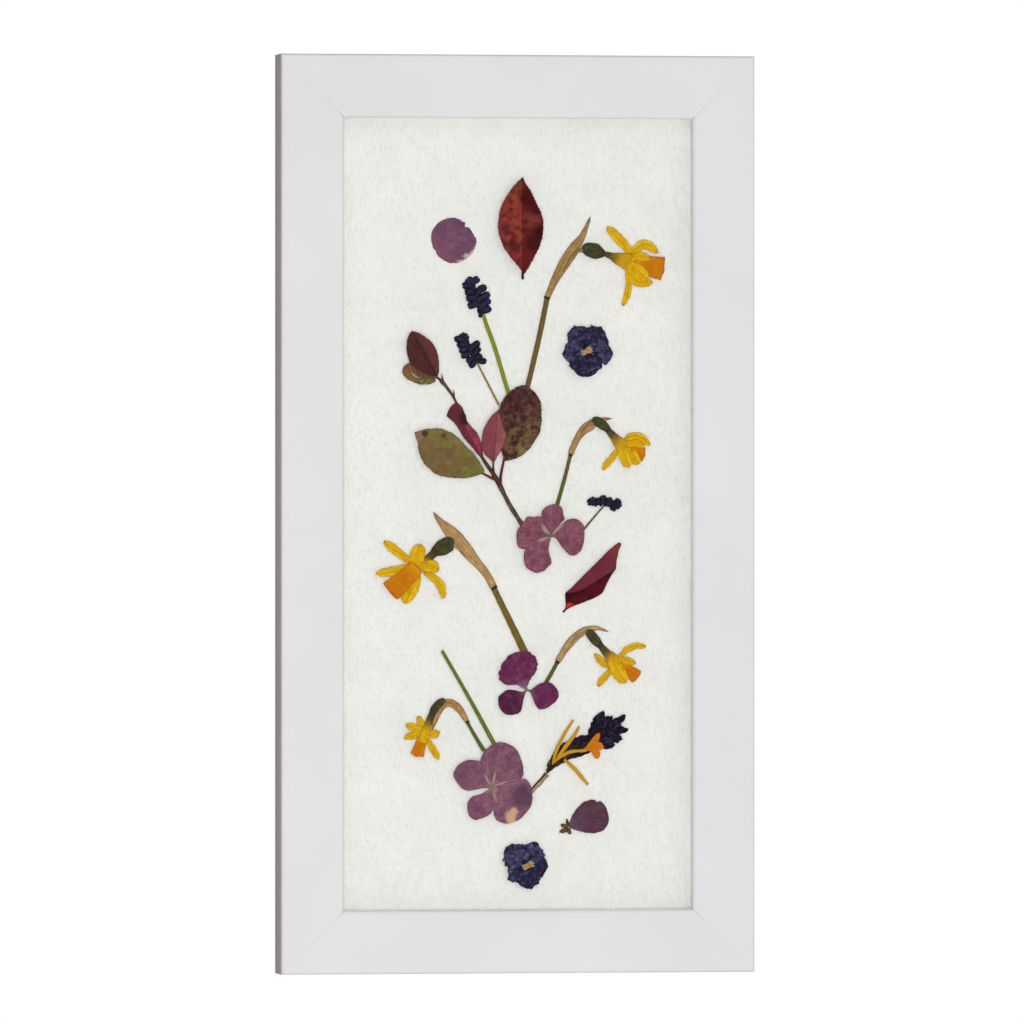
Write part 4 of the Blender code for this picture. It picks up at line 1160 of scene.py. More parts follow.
def narcissi() -> list[Narcissus]:
    """The five narcissi, in millimetres from the middle of the sheet.

    Returns:
        The narcissi from the top of the sheet to its foot.
    """
    first = Narcissus(
        1,
        (132, 104, 56),
        (92, 70, 34),
        [(19.5, 133.6, 3.1), (14.5, 109.5, 3.2), (8.0, 82.0, 3.2), (5.5, 73.5, 3.2)],
        spathe(
            1, [(19.6, 133.9), (24.4, 144.6), (30.0, 154.4), (35.6, 163.6), (42.0, 172.0), (46.8, 183.8)], 3.9,
            edges=[
                (0.01, 1.8, 1.8), (0.1, 2.0, 2.1), (0.26, 2.7, 2.7), (0.42, 3.5, 3.6), (0.56, 3.2, 4.0),
                (0.68, 2.7, 2.9), (0.8, 2.1, 1.5), (0.9, 1.3, 0.9), (0.97, 0.7, 0.5),
            ],
        ),
        [(29.4, 150.0, 0.6), (33.4, 156.6, 1.3), (37.4, 161.6, 1.8), (43.0, 163.6, 2.2)],
        [(41.0, 163.6, 3.0), (43.5, 163.6, 7.2), (47.5, 162.8, 9.4), (51.5, 161.6, 8.4), (55.2, 160.6, 4.0)],
        [(54.3, 161.0, 2.6), (58.5, 159.8, 3.8), (64.0, 157.6, 7.4), (70.5, 155.5, 11.4)],
        [
            ([(71.5, 157.5), (69.0, 164.5), (63.5, 171.0), (57.2, 177.2)], 3.0, 1.7),
            ([(69.5, 156.5), (75.0, 163.8), (81.5, 166.6), (88.6, 161.8)], 2.9, 1.5),
            ([(69.0, 155.5), (76.0, 159.2), (83.5, 158.2)], 2.7, 2.1),
            ([(68.5, 154.5), (75.0, 150.5), (81.5, 144.8)], 4.7, 2.5),
            ([(70.5, 153.5), (72.5, 147.0), (77.0, 143.2), (85.2, 143.4)], 3.0, 1.6),
            ([(69.0, 154.5), (70.4, 146.0), (69.6, 136.0), (67.0, 129.4)], 2.1, 1.4),
        ],
        corona([(74.0, 155.0), (83.0, 153.2), (92.2, 151.6)], 7.2, 1.9, 101),
    )
    second = Narcissus(
        2,
        (112, 114, 42),
        (74, 74, 28),
        [(34.0, 36.4, 2.1), (30.4, 22.0, 2.3), (25.4, 4.5, 2.5)],
        spathe(
            2, [(34.2, 36.8), (38.0, 45.6), (42.6, 52.4), (48.0, 56.2), (54.0, 58.4), (60.4, 59.0)], 2.6,
            edges=[
                (0.01, 1.9, 1.6), (0.2, 2.1, 1.8), (0.42, 2.5, 2.6), (0.55, 2.7, 3.8), (0.68, 2.4, 3.0),
                (0.8, 1.5, 1.4), (0.93, 0.7, 0.6),
            ],
        ),
        [(40.6, 50.0, 0.6), (44.6, 54.6, 1.6), (49.5, 57.0, 2.4)],
        [(47.6, 58.2, 3.0), (50.0, 57.6, 5.4), (53.2, 55.6, 6.2), (56.4, 53.2, 4.8), (58.2, 51.2, 3.6)],
        [(57.4, 52.0, 3.6), (60.4, 48.6, 4.8), (64.5, 43.8, 7.4), (68.0, 40.6, 9.0)],
        [
            ([(66.5, 44.0), (72.0, 48.0), (78.0, 47.2), (83.6, 42.6)], 2.6, 1.5),
            ([(67.0, 42.0), (73.5, 43.8), (79.8, 41.8)], 2.2, 1.9),
            ([(65.0, 44.0), (67.0, 37.5), (70.6, 28.8)], 3.6, 2.3),
            ([(67.0, 41.5), (72.5, 36.5), (76.5, 31.2)], 3.6, 2.0),
            ([(65.0, 41.5), (60.0, 34.6), (54.4, 28.0)], 2.1, 1.4),
        ],
        corona([(69.0, 41.0), (74.5, 38.4), (80.2, 36.6)], 4.4, 1.5, 102),
    )
    third = Narcissus(
        3,
        (134, 112, 46),
        (92, 76, 30),
        [(-14.0, -45.6, 3.5), (-4.0, -66.0, 4.0), (5.5, -85.5, 4.6)],
        spathe(
            3, [(-13.9, -45.0), (-19.1, -36.1), (-28.5, -24.9), (-37.1, -14.6), (-47.0, -4.6), (-51.6, 1.4)], 4.2,
            edges=[
                (0.01, 2.2, 2.2), (0.14, 2.3, 2.3), (0.3, 2.9, 2.7), (0.42, 3.7, 3.6), (0.52, 4.1, 4.0),
                (0.64, 4.1, 4.0), (0.77, 3.5, 3.3), (0.88, 1.9, 1.8), (0.95, 1.2, 1.1),
            ],
        ),
        [(-31.0, -27.0, 0.5), (-35.4, -21.8, 1.2), (-40.5, -17.4, 3.0)],
        [(-38.8, -16.8, 4.0), (-41.0, -17.6, 8.4), (-44.8, -19.8, 10.2), (-49.0, -22.2, 8.0), (-52.0, -24.2, 4.8)],
        [(-51.0, -23.6, 4.8), (-54.5, -27.2, 5.0), (-58.0, -31.2, 7.0), (-60.5, -33.5, 9.0)],
        [
            ([(-58.5, -32.5), (-61.5, -26.5), (-60.0, -19.0)], 4.7, 1.9),
            ([(-64.0, -31.0), (-73.0, -24.0), (-82.2, -17.0)], 2.8, 1.6),
            ([(-65.0, -31.5), (-76.0, -35.0), (-87.2, -36.6)], 2.9, 1.8),
            ([(-60.5, -36.0), (-65.0, -45.0), (-69.5, -54.6)], 4.6, 1.4),
            ([(-59.0, -33.0), (-53.5, -32.2), (-48.6, -34.2)], 3.9, 2.1),
            ([(-58.0, -36.0), (-51.0, -39.6), (-47.0, -44.5), (-45.2, -51.4)], 2.7, 1.5),
        ],
        corona([(-61.8, -32.4), (-69.5, -39.8), (-78.6, -47.6)], 6.7, 2.6, 103),
    )
    fourth = Narcissus(
        4,
        (104, 108, 46),
        (70, 72, 30),
        [(25.9, -91.4, 2.3), (22.0, -98.5, 2.4), (18.5, -104.5, 2.5)],
        spathe(
            4, [(26.2, -91.0), (31.4, -82.4), (36.8, -76.0), (43.2, -71.4), (50.2, -70.2), (58.2, -72.6)], 2.7,
            edges=[
                (0.01, 1.9, 1.9), (0.15, 2.0, 2.2), (0.35, 2.3, 2.8), (0.52, 2.0, 2.9), (0.66, 1.6, 2.4),
                (0.8, 1.1, 1.6), (0.93, 0.6, 0.9),
            ],
        ),
        [(33.4, -80.4, 0.5), (38.5, -75.8, 1.4), (44.5, -72.6, 2.4)],
        [(44.0, -72.2, 3.2), (46.4, -74.2, 5.6), (49.0, -77.4, 6.2), (51.8, -80.4, 4.8), (53.6, -82.2, 3.6)],
        [(52.8, -81.4, 3.6), (56.0, -85.2, 5.0), (60.0, -89.6, 7.6), (64.0, -93.6, 9.0)],
        [
            ([(63.5, -89.5), (69.5, -83.8), (75.5, -81.4), (81.0, -81.8)], 2.1, 1.6),
            ([(63.0, -90.0), (69.0, -90.6), (74.4, -92.2)], 2.3, 1.9),
            ([(58.5, -88.0), (62.5, -95.5), (68.0, -104.0)], 4.4, 2.4),
            ([(60.0, -95.0), (55.0, -92.6), (49.6, -86.6)], 2.1, 1.4),
            ([(60.5, -95.0), (56.5, -99.5), (51.4, -105.8)], 2.2, 1.5),
        ],
        corona([(65.5, -93.5), (70.5, -97.0), (76.0, -101.0)], 4.4, 1.8, 104),
    )
    fifth = Narcissus(
        5,
        (110, 116, 46),
        (74, 80, 30),
        [(-30.6, -128.1, 2.0), (-25.5, -137.0, 2.2), (-20.0, -146.0, 2.6)],
        spathe(5, [(-30.6, -127.8), (-34.5, -121.4), (-39.0, -117.2), (-43.6, -116.6), (-48.0, -121.0), (-52.6, -133.8)], 2.3),
        [(-37.6, -118.4, 0.5), (-42.0, -115.8, 1.3), (-46.0, -114.8, 2.4)],
        [(-44.5, -114.6, 3.2), (-47.6, -116.2, 4.6), (-50.8, -119.8, 5.0), (-53.0, -124.6, 4.0)],
        [(-52.2, -122.8, 3.8), (-54.4, -127.6, 4.4), (-56.4, -133.0, 6.0), (-57.4, -137.0, 7.0)],
        [
            ([(-56.5, -135.5), (-59.0, -130.5), (-61.0, -124.8)], 2.3, 1.6),
            ([(-58.0, -136.0), (-63.0, -132.0), (-68.6, -130.2)], 2.4, 1.8),
            ([(-58.0, -137.0), (-64.0, -136.4), (-70.0, -138.0)], 2.2, 1.5),
            ([(-56.0, -136.5), (-52.5, -136.0), (-48.0, -134.6)], 2.6, 1.9),
            ([(-56.5, -137.0), (-53.0, -143.0), (-48.2, -151.0)], 2.2, 1.6),
            ([(-55.0, -132.0), (-57.0, -136.5), (-58.5, -141.0)], 2.8, 2.4),
        ],
        corona([(-58.5, -137.5), (-60.0, -143.0), (-62.0, -149.2)], 4.2, 2.1, 105),
    )
    return [first, second, third, fourth, fifth]


@dataclass
class GrapeHyacinth:
    """A grape hyacinth: a thin stem, and florets that point outwards from its axis."""

    number: int
    stem: Sequence[Station]
    axis: Sequence[Station]
    florets: Sequence[Station]  # outer end x and z of each floret
    light: Rgb
    dark: Rgb
    width: float = 4.6

    def build_stem(self) -> bpy.types.Object:
        """Builds the stem."""
        name = f"muscari_{self.number}_stem"
        green = stalk(f"thin_stem_{self.number}", self.light, self.dark)
        return make_piece(name + "_pressed", [Shoot(self.stem, green, thick=1.0, cell=0.7)], name)

    def build_head(self) -> bpy.types.Object:
        """Builds the axis and each floret, heart-shaped with a notch at its mouth."""
        line = smooth_line(self.axis)
        grey = stalk(f"head_axis_{self.number}", (50, 52, 54), (24, 24, 36))
        shapes: list[Shape] = [Shoot([(x, z, 3.2) for x, z in self.axis], grey, level=0.4, thick=1.0, grooves=0.15, wobble=0.3)]
        for index, (x, z) in enumerate(self.florets):
            near = np.hypot(line[:, 0] - x, line[:, 1] - z)
            foot = line[min(len(line) - 1, int(near.argmin()) + (4 if near.min() < 3.5 else 10))]
            low = 0.75 + 0.45 * (index % 3)
            shapes.append(
                Blade(
                    [(float(foot[0]), float(foot[1])), (x, z)],
                    self.width / 2,
                    self.width / 2,
                    MUSCARI,
                    Outline.FLORET,
                    level=low,
                    thickness=0.9,
                    bulge=0.7,
                    crinkle=0.15,
                    crinkle_size=1.6,
                    ragged=0.12,
                    notch=0.8,
                    frill=0.3,
                    foot=0.42,
                    seed=100 * self.number + index,
                    cell=0.35,
                )
            )
        name = f"muscari_{self.number}_head"
        return make_piece(name + "_florets", shapes, name)

    def build(self) -> None:
        """Builds the two pieces."""
        self.build_stem()
        self.build_head()


def grape_hyacinths() -> list[GrapeHyacinth]:
    """The three grape hyacinths, in millimetres from the middle of the sheet."""
    return [
        GrapeHyacinth(
            1,
            [(-20.8, 124.0, 2.0), (-18.2, 116.0, 2.5), (-13.5, 103.5, 2.5), (-4.5, 74.0, 2.6)],
            [(-28.4, 143.2), (-25.2, 134.5), (-21.0, 123.6)],
            [
                (-30.9, 145.4), (-27.0, 146.2), (-23.2, 145.8), (-33.4, 140.6), (-32.2, 136.6), (-31.4, 132.6),
                (-30.2, 128.2), (-18.4, 140.6), (-16.4, 136.2), (-15.8, 132.4), (-15.8, 127.6), (-23.8, 123.0),
                (-27.8, 130.6), (-20.6, 134.2), (-26.6, 138.0), (-21.0, 130.0), (-26.6, 134.0), (-22.4, 137.6),
                (-24.4, 126.4),
            ],
            (158, 158, 42),
            (110, 116, 30),
        ),
        GrapeHyacinth(
            2,
            [(-24.4, 93.6, 1.1), (-17.0, 79.5, 1.2), (-10.5, 67.0, 1.3)],
            [(-32.8, 109.4), (-29.4, 102.4), (-24.6, 94.6)],
            [
                (-34.4, 111.6), (-38.8, 107.6), (-29.8, 110.4), (-36.8, 103.8), (-35.7, 100.4), (-34.3, 97.0),
                (-29.2, 90.6), (-22.6, 106.4), (-22.3, 102.8), (-21.4, 98.6), (-18.3, 94.2), (-31.2, 94.0),
                (-28.6, 105.6), (-25.6, 100.2), (-30.6, 100.0), (-27.2, 95.6),
            ],
            (172, 146, 82),
            (128, 104, 50),
            4.0,
        ),
        GrapeHyacinth(
            3,
            [(55.4, 5.4, 1.0), (50.0, -0.6, 1.1), (42.0, -10.0, 1.3)],
            [(47.6, 7.8), (55.0, 7.2), (62.6, 6.0)],
            [
                (44.6, 6.8), (46.8, 10.4), (51.0, 10.4), (48.8, 4.8), (54.4, 11.8), (58.0, 10.6), (61.2, 9.0),
                (64.6, 9.6), (66.2, 6.4), (63.2, 2.6), (60.2, 1.8), (56.8, 4.4), (52.0, 5.0),
            ],
            (128, 110, 58),
            (92, 76, 40),
            4.0,
        ),
    ]  # fmt: skip


@dataclass
class Viola:
    """A viola pressed face up: five crinkled petals, a cream beard and an orange eye."""

    number: int
    eye: Station
    petals: Sequence[tuple[float, float, float, float]]  # x and z of the tip, half width, level
    dark: tuple[int, ...] = ()  # the petals that are nearly black

    def build(self) -> bpy.types.Object:
        """Builds the flower as one piece."""
        shapes: list[Shape] = []
        x, z = self.eye[:2]
        for index, (tip_x, tip_z, half, level) in enumerate(self.petals):
            finish = VIOLA_DARK if index in self.dark else VIOLA
            path = [(x - 0.07 * (tip_x - x), z - 0.07 * (tip_z - z)), (tip_x, tip_z)]
            shapes.append(
                Blade(
                    path, half, half, finish, Outline.DISC, level=level, thickness=0.3, crinkle=0.6, crinkle_size=3.0,
                    ragged=0.95, ragged_size=1.2, frill=1.4, lift=(0.3, 0.3, 0, 0.6), seed=200 * self.number + index,
                    cell=0.4,
                )
            )  # fmt: skip
        for index in range(14):
            side = 0 if index % 2 else 180
            turn = math.radians(side + 13 * (index // 2) - 14)
            reach = 2.6 + 0.6 * (index * 5 % 4)
            near = (x + 1.0 * math.cos(turn), z + 1.0 * math.sin(turn), 1.5)
            far = (x + reach * math.cos(turn), z + reach * math.sin(turn), 0.9)
            shapes.append(Shoot([near, far], VIOLA_BEARD, level=2.2, thick=0.5, wobble=0.3, sides=8, cell=0.4, seed=index))
        centre = [(x - 1.9, z - 0.8, 1.4), (x, z, 3.0), (x + 2.1, z + 0.9, 1.8)]
        shapes.append(Shoot(centre, VIOLA_EYE, level=2.3, thick=1.0, wobble=0.2, cell=0.3))
        name = f"viola_{self.number}"
        return make_piece(name + "_face", shapes, name)


def violas() -> list[Viola]:
    """The two violas, in millimetres from the middle of the sheet."""
    return [
        Viola(
            1, (43.8, 100.6),
            [(36.4, 115.8, 8.6, 1.0), (53.4, 115.4, 9.0, 1.3), (59.6, 99.4, 8.2, 1.6), (43.0, 85.8, 10.4, 2.0), (29.4, 99.6, 8.2, 1.5)],
            (1, 3),
        ),
        Viola(
            2, (7.2, -217.0),
            [(11.8, -203.2, 8.4, 1.2), (-6.6, -206.3, 8.6, 1.6), (19.0, -218.5, 8.2, 1.0), (-4.8, -224.4, 6.5, 1.4), (8.2, -230.5, 8.8, 2.0)],
            (2, 4),
        ),
    ]  # fmt: skip


@dataclass
class Hydrangea:
    """A hydrangea floret: broad sepals that overlap at their base, and a small centre."""

    number: int
    centre: Station
    finish: PressedFinish
    sepals: Sequence[Blade]
    slivers: Sequence[Sequence[Station]] = ()
    eye_width: float = 2.4

    def build(self) -> bpy.types.Object:
        """Builds the floret as one piece."""
        x, z = self.centre[:2]
        shapes: list[Shape] = list(self.sepals)
        for path in self.slivers:
            shapes.append(Shoot(path, PALE_FOLD, level=2.7, thick=0.5, cell=0.5))
        half = self.eye_width / 2
        eye = [(x - half, z - 0.4, 0.6 * half), (x, z, 1.8 * half), (x + half, z + 0.5, 0.6 * half)]
        shapes.append(Shoot(eye, FLORET_EYE, level=2.9, thick=0.9, wobble=0.2, cell=0.3))
        name = f"hydrangea_{self.number}"
        return make_piece(name + "_floret", shapes, name)


def sepal_blade(
    centre: Station, tip: Station, left: float, right: float, finish: PressedFinish, seed: int, **options: Any
) -> Blade:
    """One hydrangea sepal from the floret's centre to its tip."""
    settings: dict[str, Any] = {
        "outline": Outline.PETAL, "level": 2.0, "crinkle": 0.2, "crinkle_size": 4.0, "ragged": 0.25,
        "ragged_size": 2.6, "cell": 0.55,
    }  # fmt: skip
    settings.update(options)
    return Blade([centre, tip], left, right, finish, seed=seed, **settings)


def hydrangeas() -> list[Hydrangea]:
    """The three hydrangea florets, in millimetres from the middle of the sheet."""
    mauve = sepal("hydrangea_mauve_pink", (152, 92, 110), (108, 56, 76), (186, 140, 150), 0.45, 0.35)
    purple = sepal("hydrangea_magenta", (118, 46, 88), (90, 30, 66), (186, 156, 192), 0.42, 0.75)
    wine = sepal("hydrangea_wine", (94, 34, 66), (70, 24, 50), (170, 136, 164), 0.4, 0.7)
    dusky = sepal("hydrangea_dusky", (142, 90, 114), (104, 62, 88), (206, 166, 166), 0.6, 0.62)
    bruised = Layer(Pattern.SPOT, (84, 60, 80), 0.8, 6.4, 17.6, 0.9, 9.4)
    c1, c2, c3 = (21.5, -13.4), (6.2, -108.5), (-15.6, -168.8)
    patches = ((2.7, 20.8, 1.2, -4.6), (2.2, 23.8, 1.2, -7.2), (1.9, 20.4, 1.1, -0.9))
    spots = [Layer(Pattern.SPOT, (208, 170, 132), 0.92, *place) for place in patches]
    tan_tip = PressedFinish("hydrangea_tan_spot", dusky.colour, (*dusky.layers, bruised, *spots), dusky.roughness)
    return [
        Hydrangea(
            1,
            c1,
            mauve,
            [
                sepal_blade(
                    c1, (0.0, -13.2), 8.8, 11.8, mauve, 11, level=2.0, lift=(0.2, 0.6, 0, 0.5), edges=[
                        (0.06, 1.5, 3.5), (0.14, 3.0, 6.8), (0.29, 5.4, 11.4), (0.5, 7.9, 11.5), (0.69, 8.8, 11.5),
                        (0.75, 8.7, 9.6), (0.84, 8.4, 6.8), (0.93, 7.2, 4.8), (0.985, 4.6, 2.9),
                    ],
                ),
                sepal_blade(
                    c1, (11.6, -36.2), 7.0, 11.2, mauve, 12, level=2.3, edges=[
                        (0.06, 0.5, 1.6), (0.19, 1.3, 4.4), (0.39, 3.0, 8.4), (0.54, 6.3, 10.6), (0.65, 7.0, 11.1),
                        (0.84, 5.0, 9.0), (0.93, 3.0, 7.6), (0.985, 1.4, 4.8),
                    ],
                ),
                sepal_blade(
                    c1, (42.2, -17.4), 12.8, 9.6, mauve, 13, level=2.2, lift=(0.3, 0.2, 0, 0.4), edges=[
                        (0.06, 2.0, 0.4), (0.19, 5.9, 1.4), (0.37, 11.2, 5.2), (0.52, 12.9, 7.8), (0.68, 12.9, 9.6),
                        (0.84, 11.6, 8.8), (0.91, 9.8, 7.0), (0.97, 4.6, 5.0),
                    ],
                ),
                sepal_blade(
                    c1, (23.2, 6.2), 7.0, 7.9, mauve, 14, level=2.6, edges=[
                        (0.06, 1.0, 0.8), (0.15, 2.0, 1.8), (0.28, 3.3, 3.6), (0.47, 5.7, 6.4), (0.59, 6.9, 7.8),
                        (0.73, 6.6, 6.4), (0.82, 5.8, 6.0), (0.9, 4.1, 5.3), (0.965, 1.9, 3.6),
                    ],
                ),
            ],
            [
                [(21.0, -12.4, 0.8), (18.0, -9.8, 2.6), (15.2, -5.0, 0.8)],
                [(22.2, -12.8, 0.8), (26.0, -9.0, 2.0), (30.8, -4.8, 0.6)],
                [(20.4, -14.2, 0.8), (16.5, -15.4, 1.9), (11.6, -17.4, 0.6)],
            ],
        ),
        Hydrangea(
            2,
            c2,
            purple,
            [
                sepal_blade(
                    c2, (-0.8, -85.3), 14.0, 11.6, purple, 21, ragged=0.55, ragged_size=1.3, edges=[
                        (0.06, 1.6, 1.0), (0.18, 4.6, 3.4), (0.26, 10.2, 5.8), (0.36, 13.2, 8.9), (0.54, 14.0, 11.5),
                        (0.7, 11.6, 11.5), (0.85, 8.8, 9.7), (0.96, 4.4, 5.9),
                    ],
                ),
                sepal_blade(
                    c2, (26.6, -112.3), 6.9, 10.1, purple, 22, level=2.2, edges=[
                        (0.06, 0.4, 0.6), (0.15, 1.0, 1.6), (0.3, 4.4, 6.6), (0.43, 6.0, 9.7), (0.6, 7.0, 10.1),
                        (0.75, 6.4, 8.0), (0.92, 3.6, 4.5), (0.98, 1.6, 1.8),
                    ],
                ),
                sepal_blade(
                    c2, (-8.5, -122.2), 7.8, 8.9, wine, 23, level=2.1, edges=[
                        (0.06, 1.0, 0.5), (0.14, 1.8, 1.0), (0.28, 3.6, 5.2), (0.44, 6.0, 8.0), (0.6, 7.2, 8.8),
                        (0.75, 6.6, 8.6), (0.88, 4.8, 6.9), (0.97, 2.6, 4.0),
                    ],
                ),
            ],
            eye_width=2.2,
        ),
        Hydrangea(
            3,
            c3,
            dusky,
            [
                sepal_blade(
                    c3, (-6.8, -141.0), 11.9, 16.2, dusky, 31, ragged=0.5, edges=[
                        (0.06, 2.0, 3.2), (0.13, 4.2, 7.0), (0.25, 7.6, 13.4), (0.35, 10.6, 15.9), (0.46, 11.8, 16.7),
                        (0.58, 11.9, 16.0), (0.68, 11.2, 14.6), (0.8, 9.2, 12.0), (0.9, 6.6, 8.9), (0.97, 3.2, 5.2),
                    ],
                ),
                sepal_blade(
                    c3, (-39.1, -159.0), 7.3, 12.2, dusky, 32, level=2.3, edges=[
                        (0.06, 0.8, 1.4), (0.16, 1.9, 3.6), (0.32, 4.6, 8.2), (0.42, 6.2, 10.8), (0.52, 7.3, 12.2),
                        (0.66, 7.2, 11.7), (0.78, 5.8, 10.2), (0.9, 3.9, 7.4), (0.97, 2.4, 4.8),
                    ],
                ),
                sepal_blade(
                    c3, (-27.4, -187.9), 7.9, 8.0, dusky, 33, level=2.1, edges=[
                        (0.06, 1.0, 0.6), (0.15, 2.4, 1.6), (0.29, 4.8, 3.3), (0.4, 6.6, 5.8), (0.5, 7.7, 7.4),
                        (0.63, 7.9, 8.0), (0.8, 5.7, 6.5), (0.9, 4.0, 4.9), (0.975, 2.5, 3.0),
                    ],
                ),
                sepal_blade(
                    c3, (3.8, -187.0), 18.2, 12.2, tan_tip, 34, level=2.4, ragged=0.4, edges=[
                        (0.06, 2.2, 1.6), (0.15, 6.6, 3.6), (0.28, 13.4, 6.8), (0.42, 18.0, 10.2), (0.53, 18.2, 11.6),
                        (0.64, 17.6, 12.2), (0.75, 15.8, 11.4), (0.85, 13.2, 9.3), (0.94, 10.0, 5.6), (0.985, 6.4, 2.6),
                    ],
                ),
            ],
            [
                [(-15.0, -167.6, 0.8), (-13.8, -162.0, 1.6), (-12.4, -156.0, 0.5)],
                [(-14.6, -168.0, 0.8), (-9.6, -166.2, 1.6), (-4.4, -164.4, 0.5)],
                [(-16.2, -167.8, 0.8), (-18.6, -163.0, 1.5), (-20.2, -158.8, 0.5)],
                [(-15.2, -169.8, 0.8), (-13.6, -174.4, 1.3), (-12.0, -179.6, 0.5)],
            ],
            eye_width=3.2,
        ),
    ]


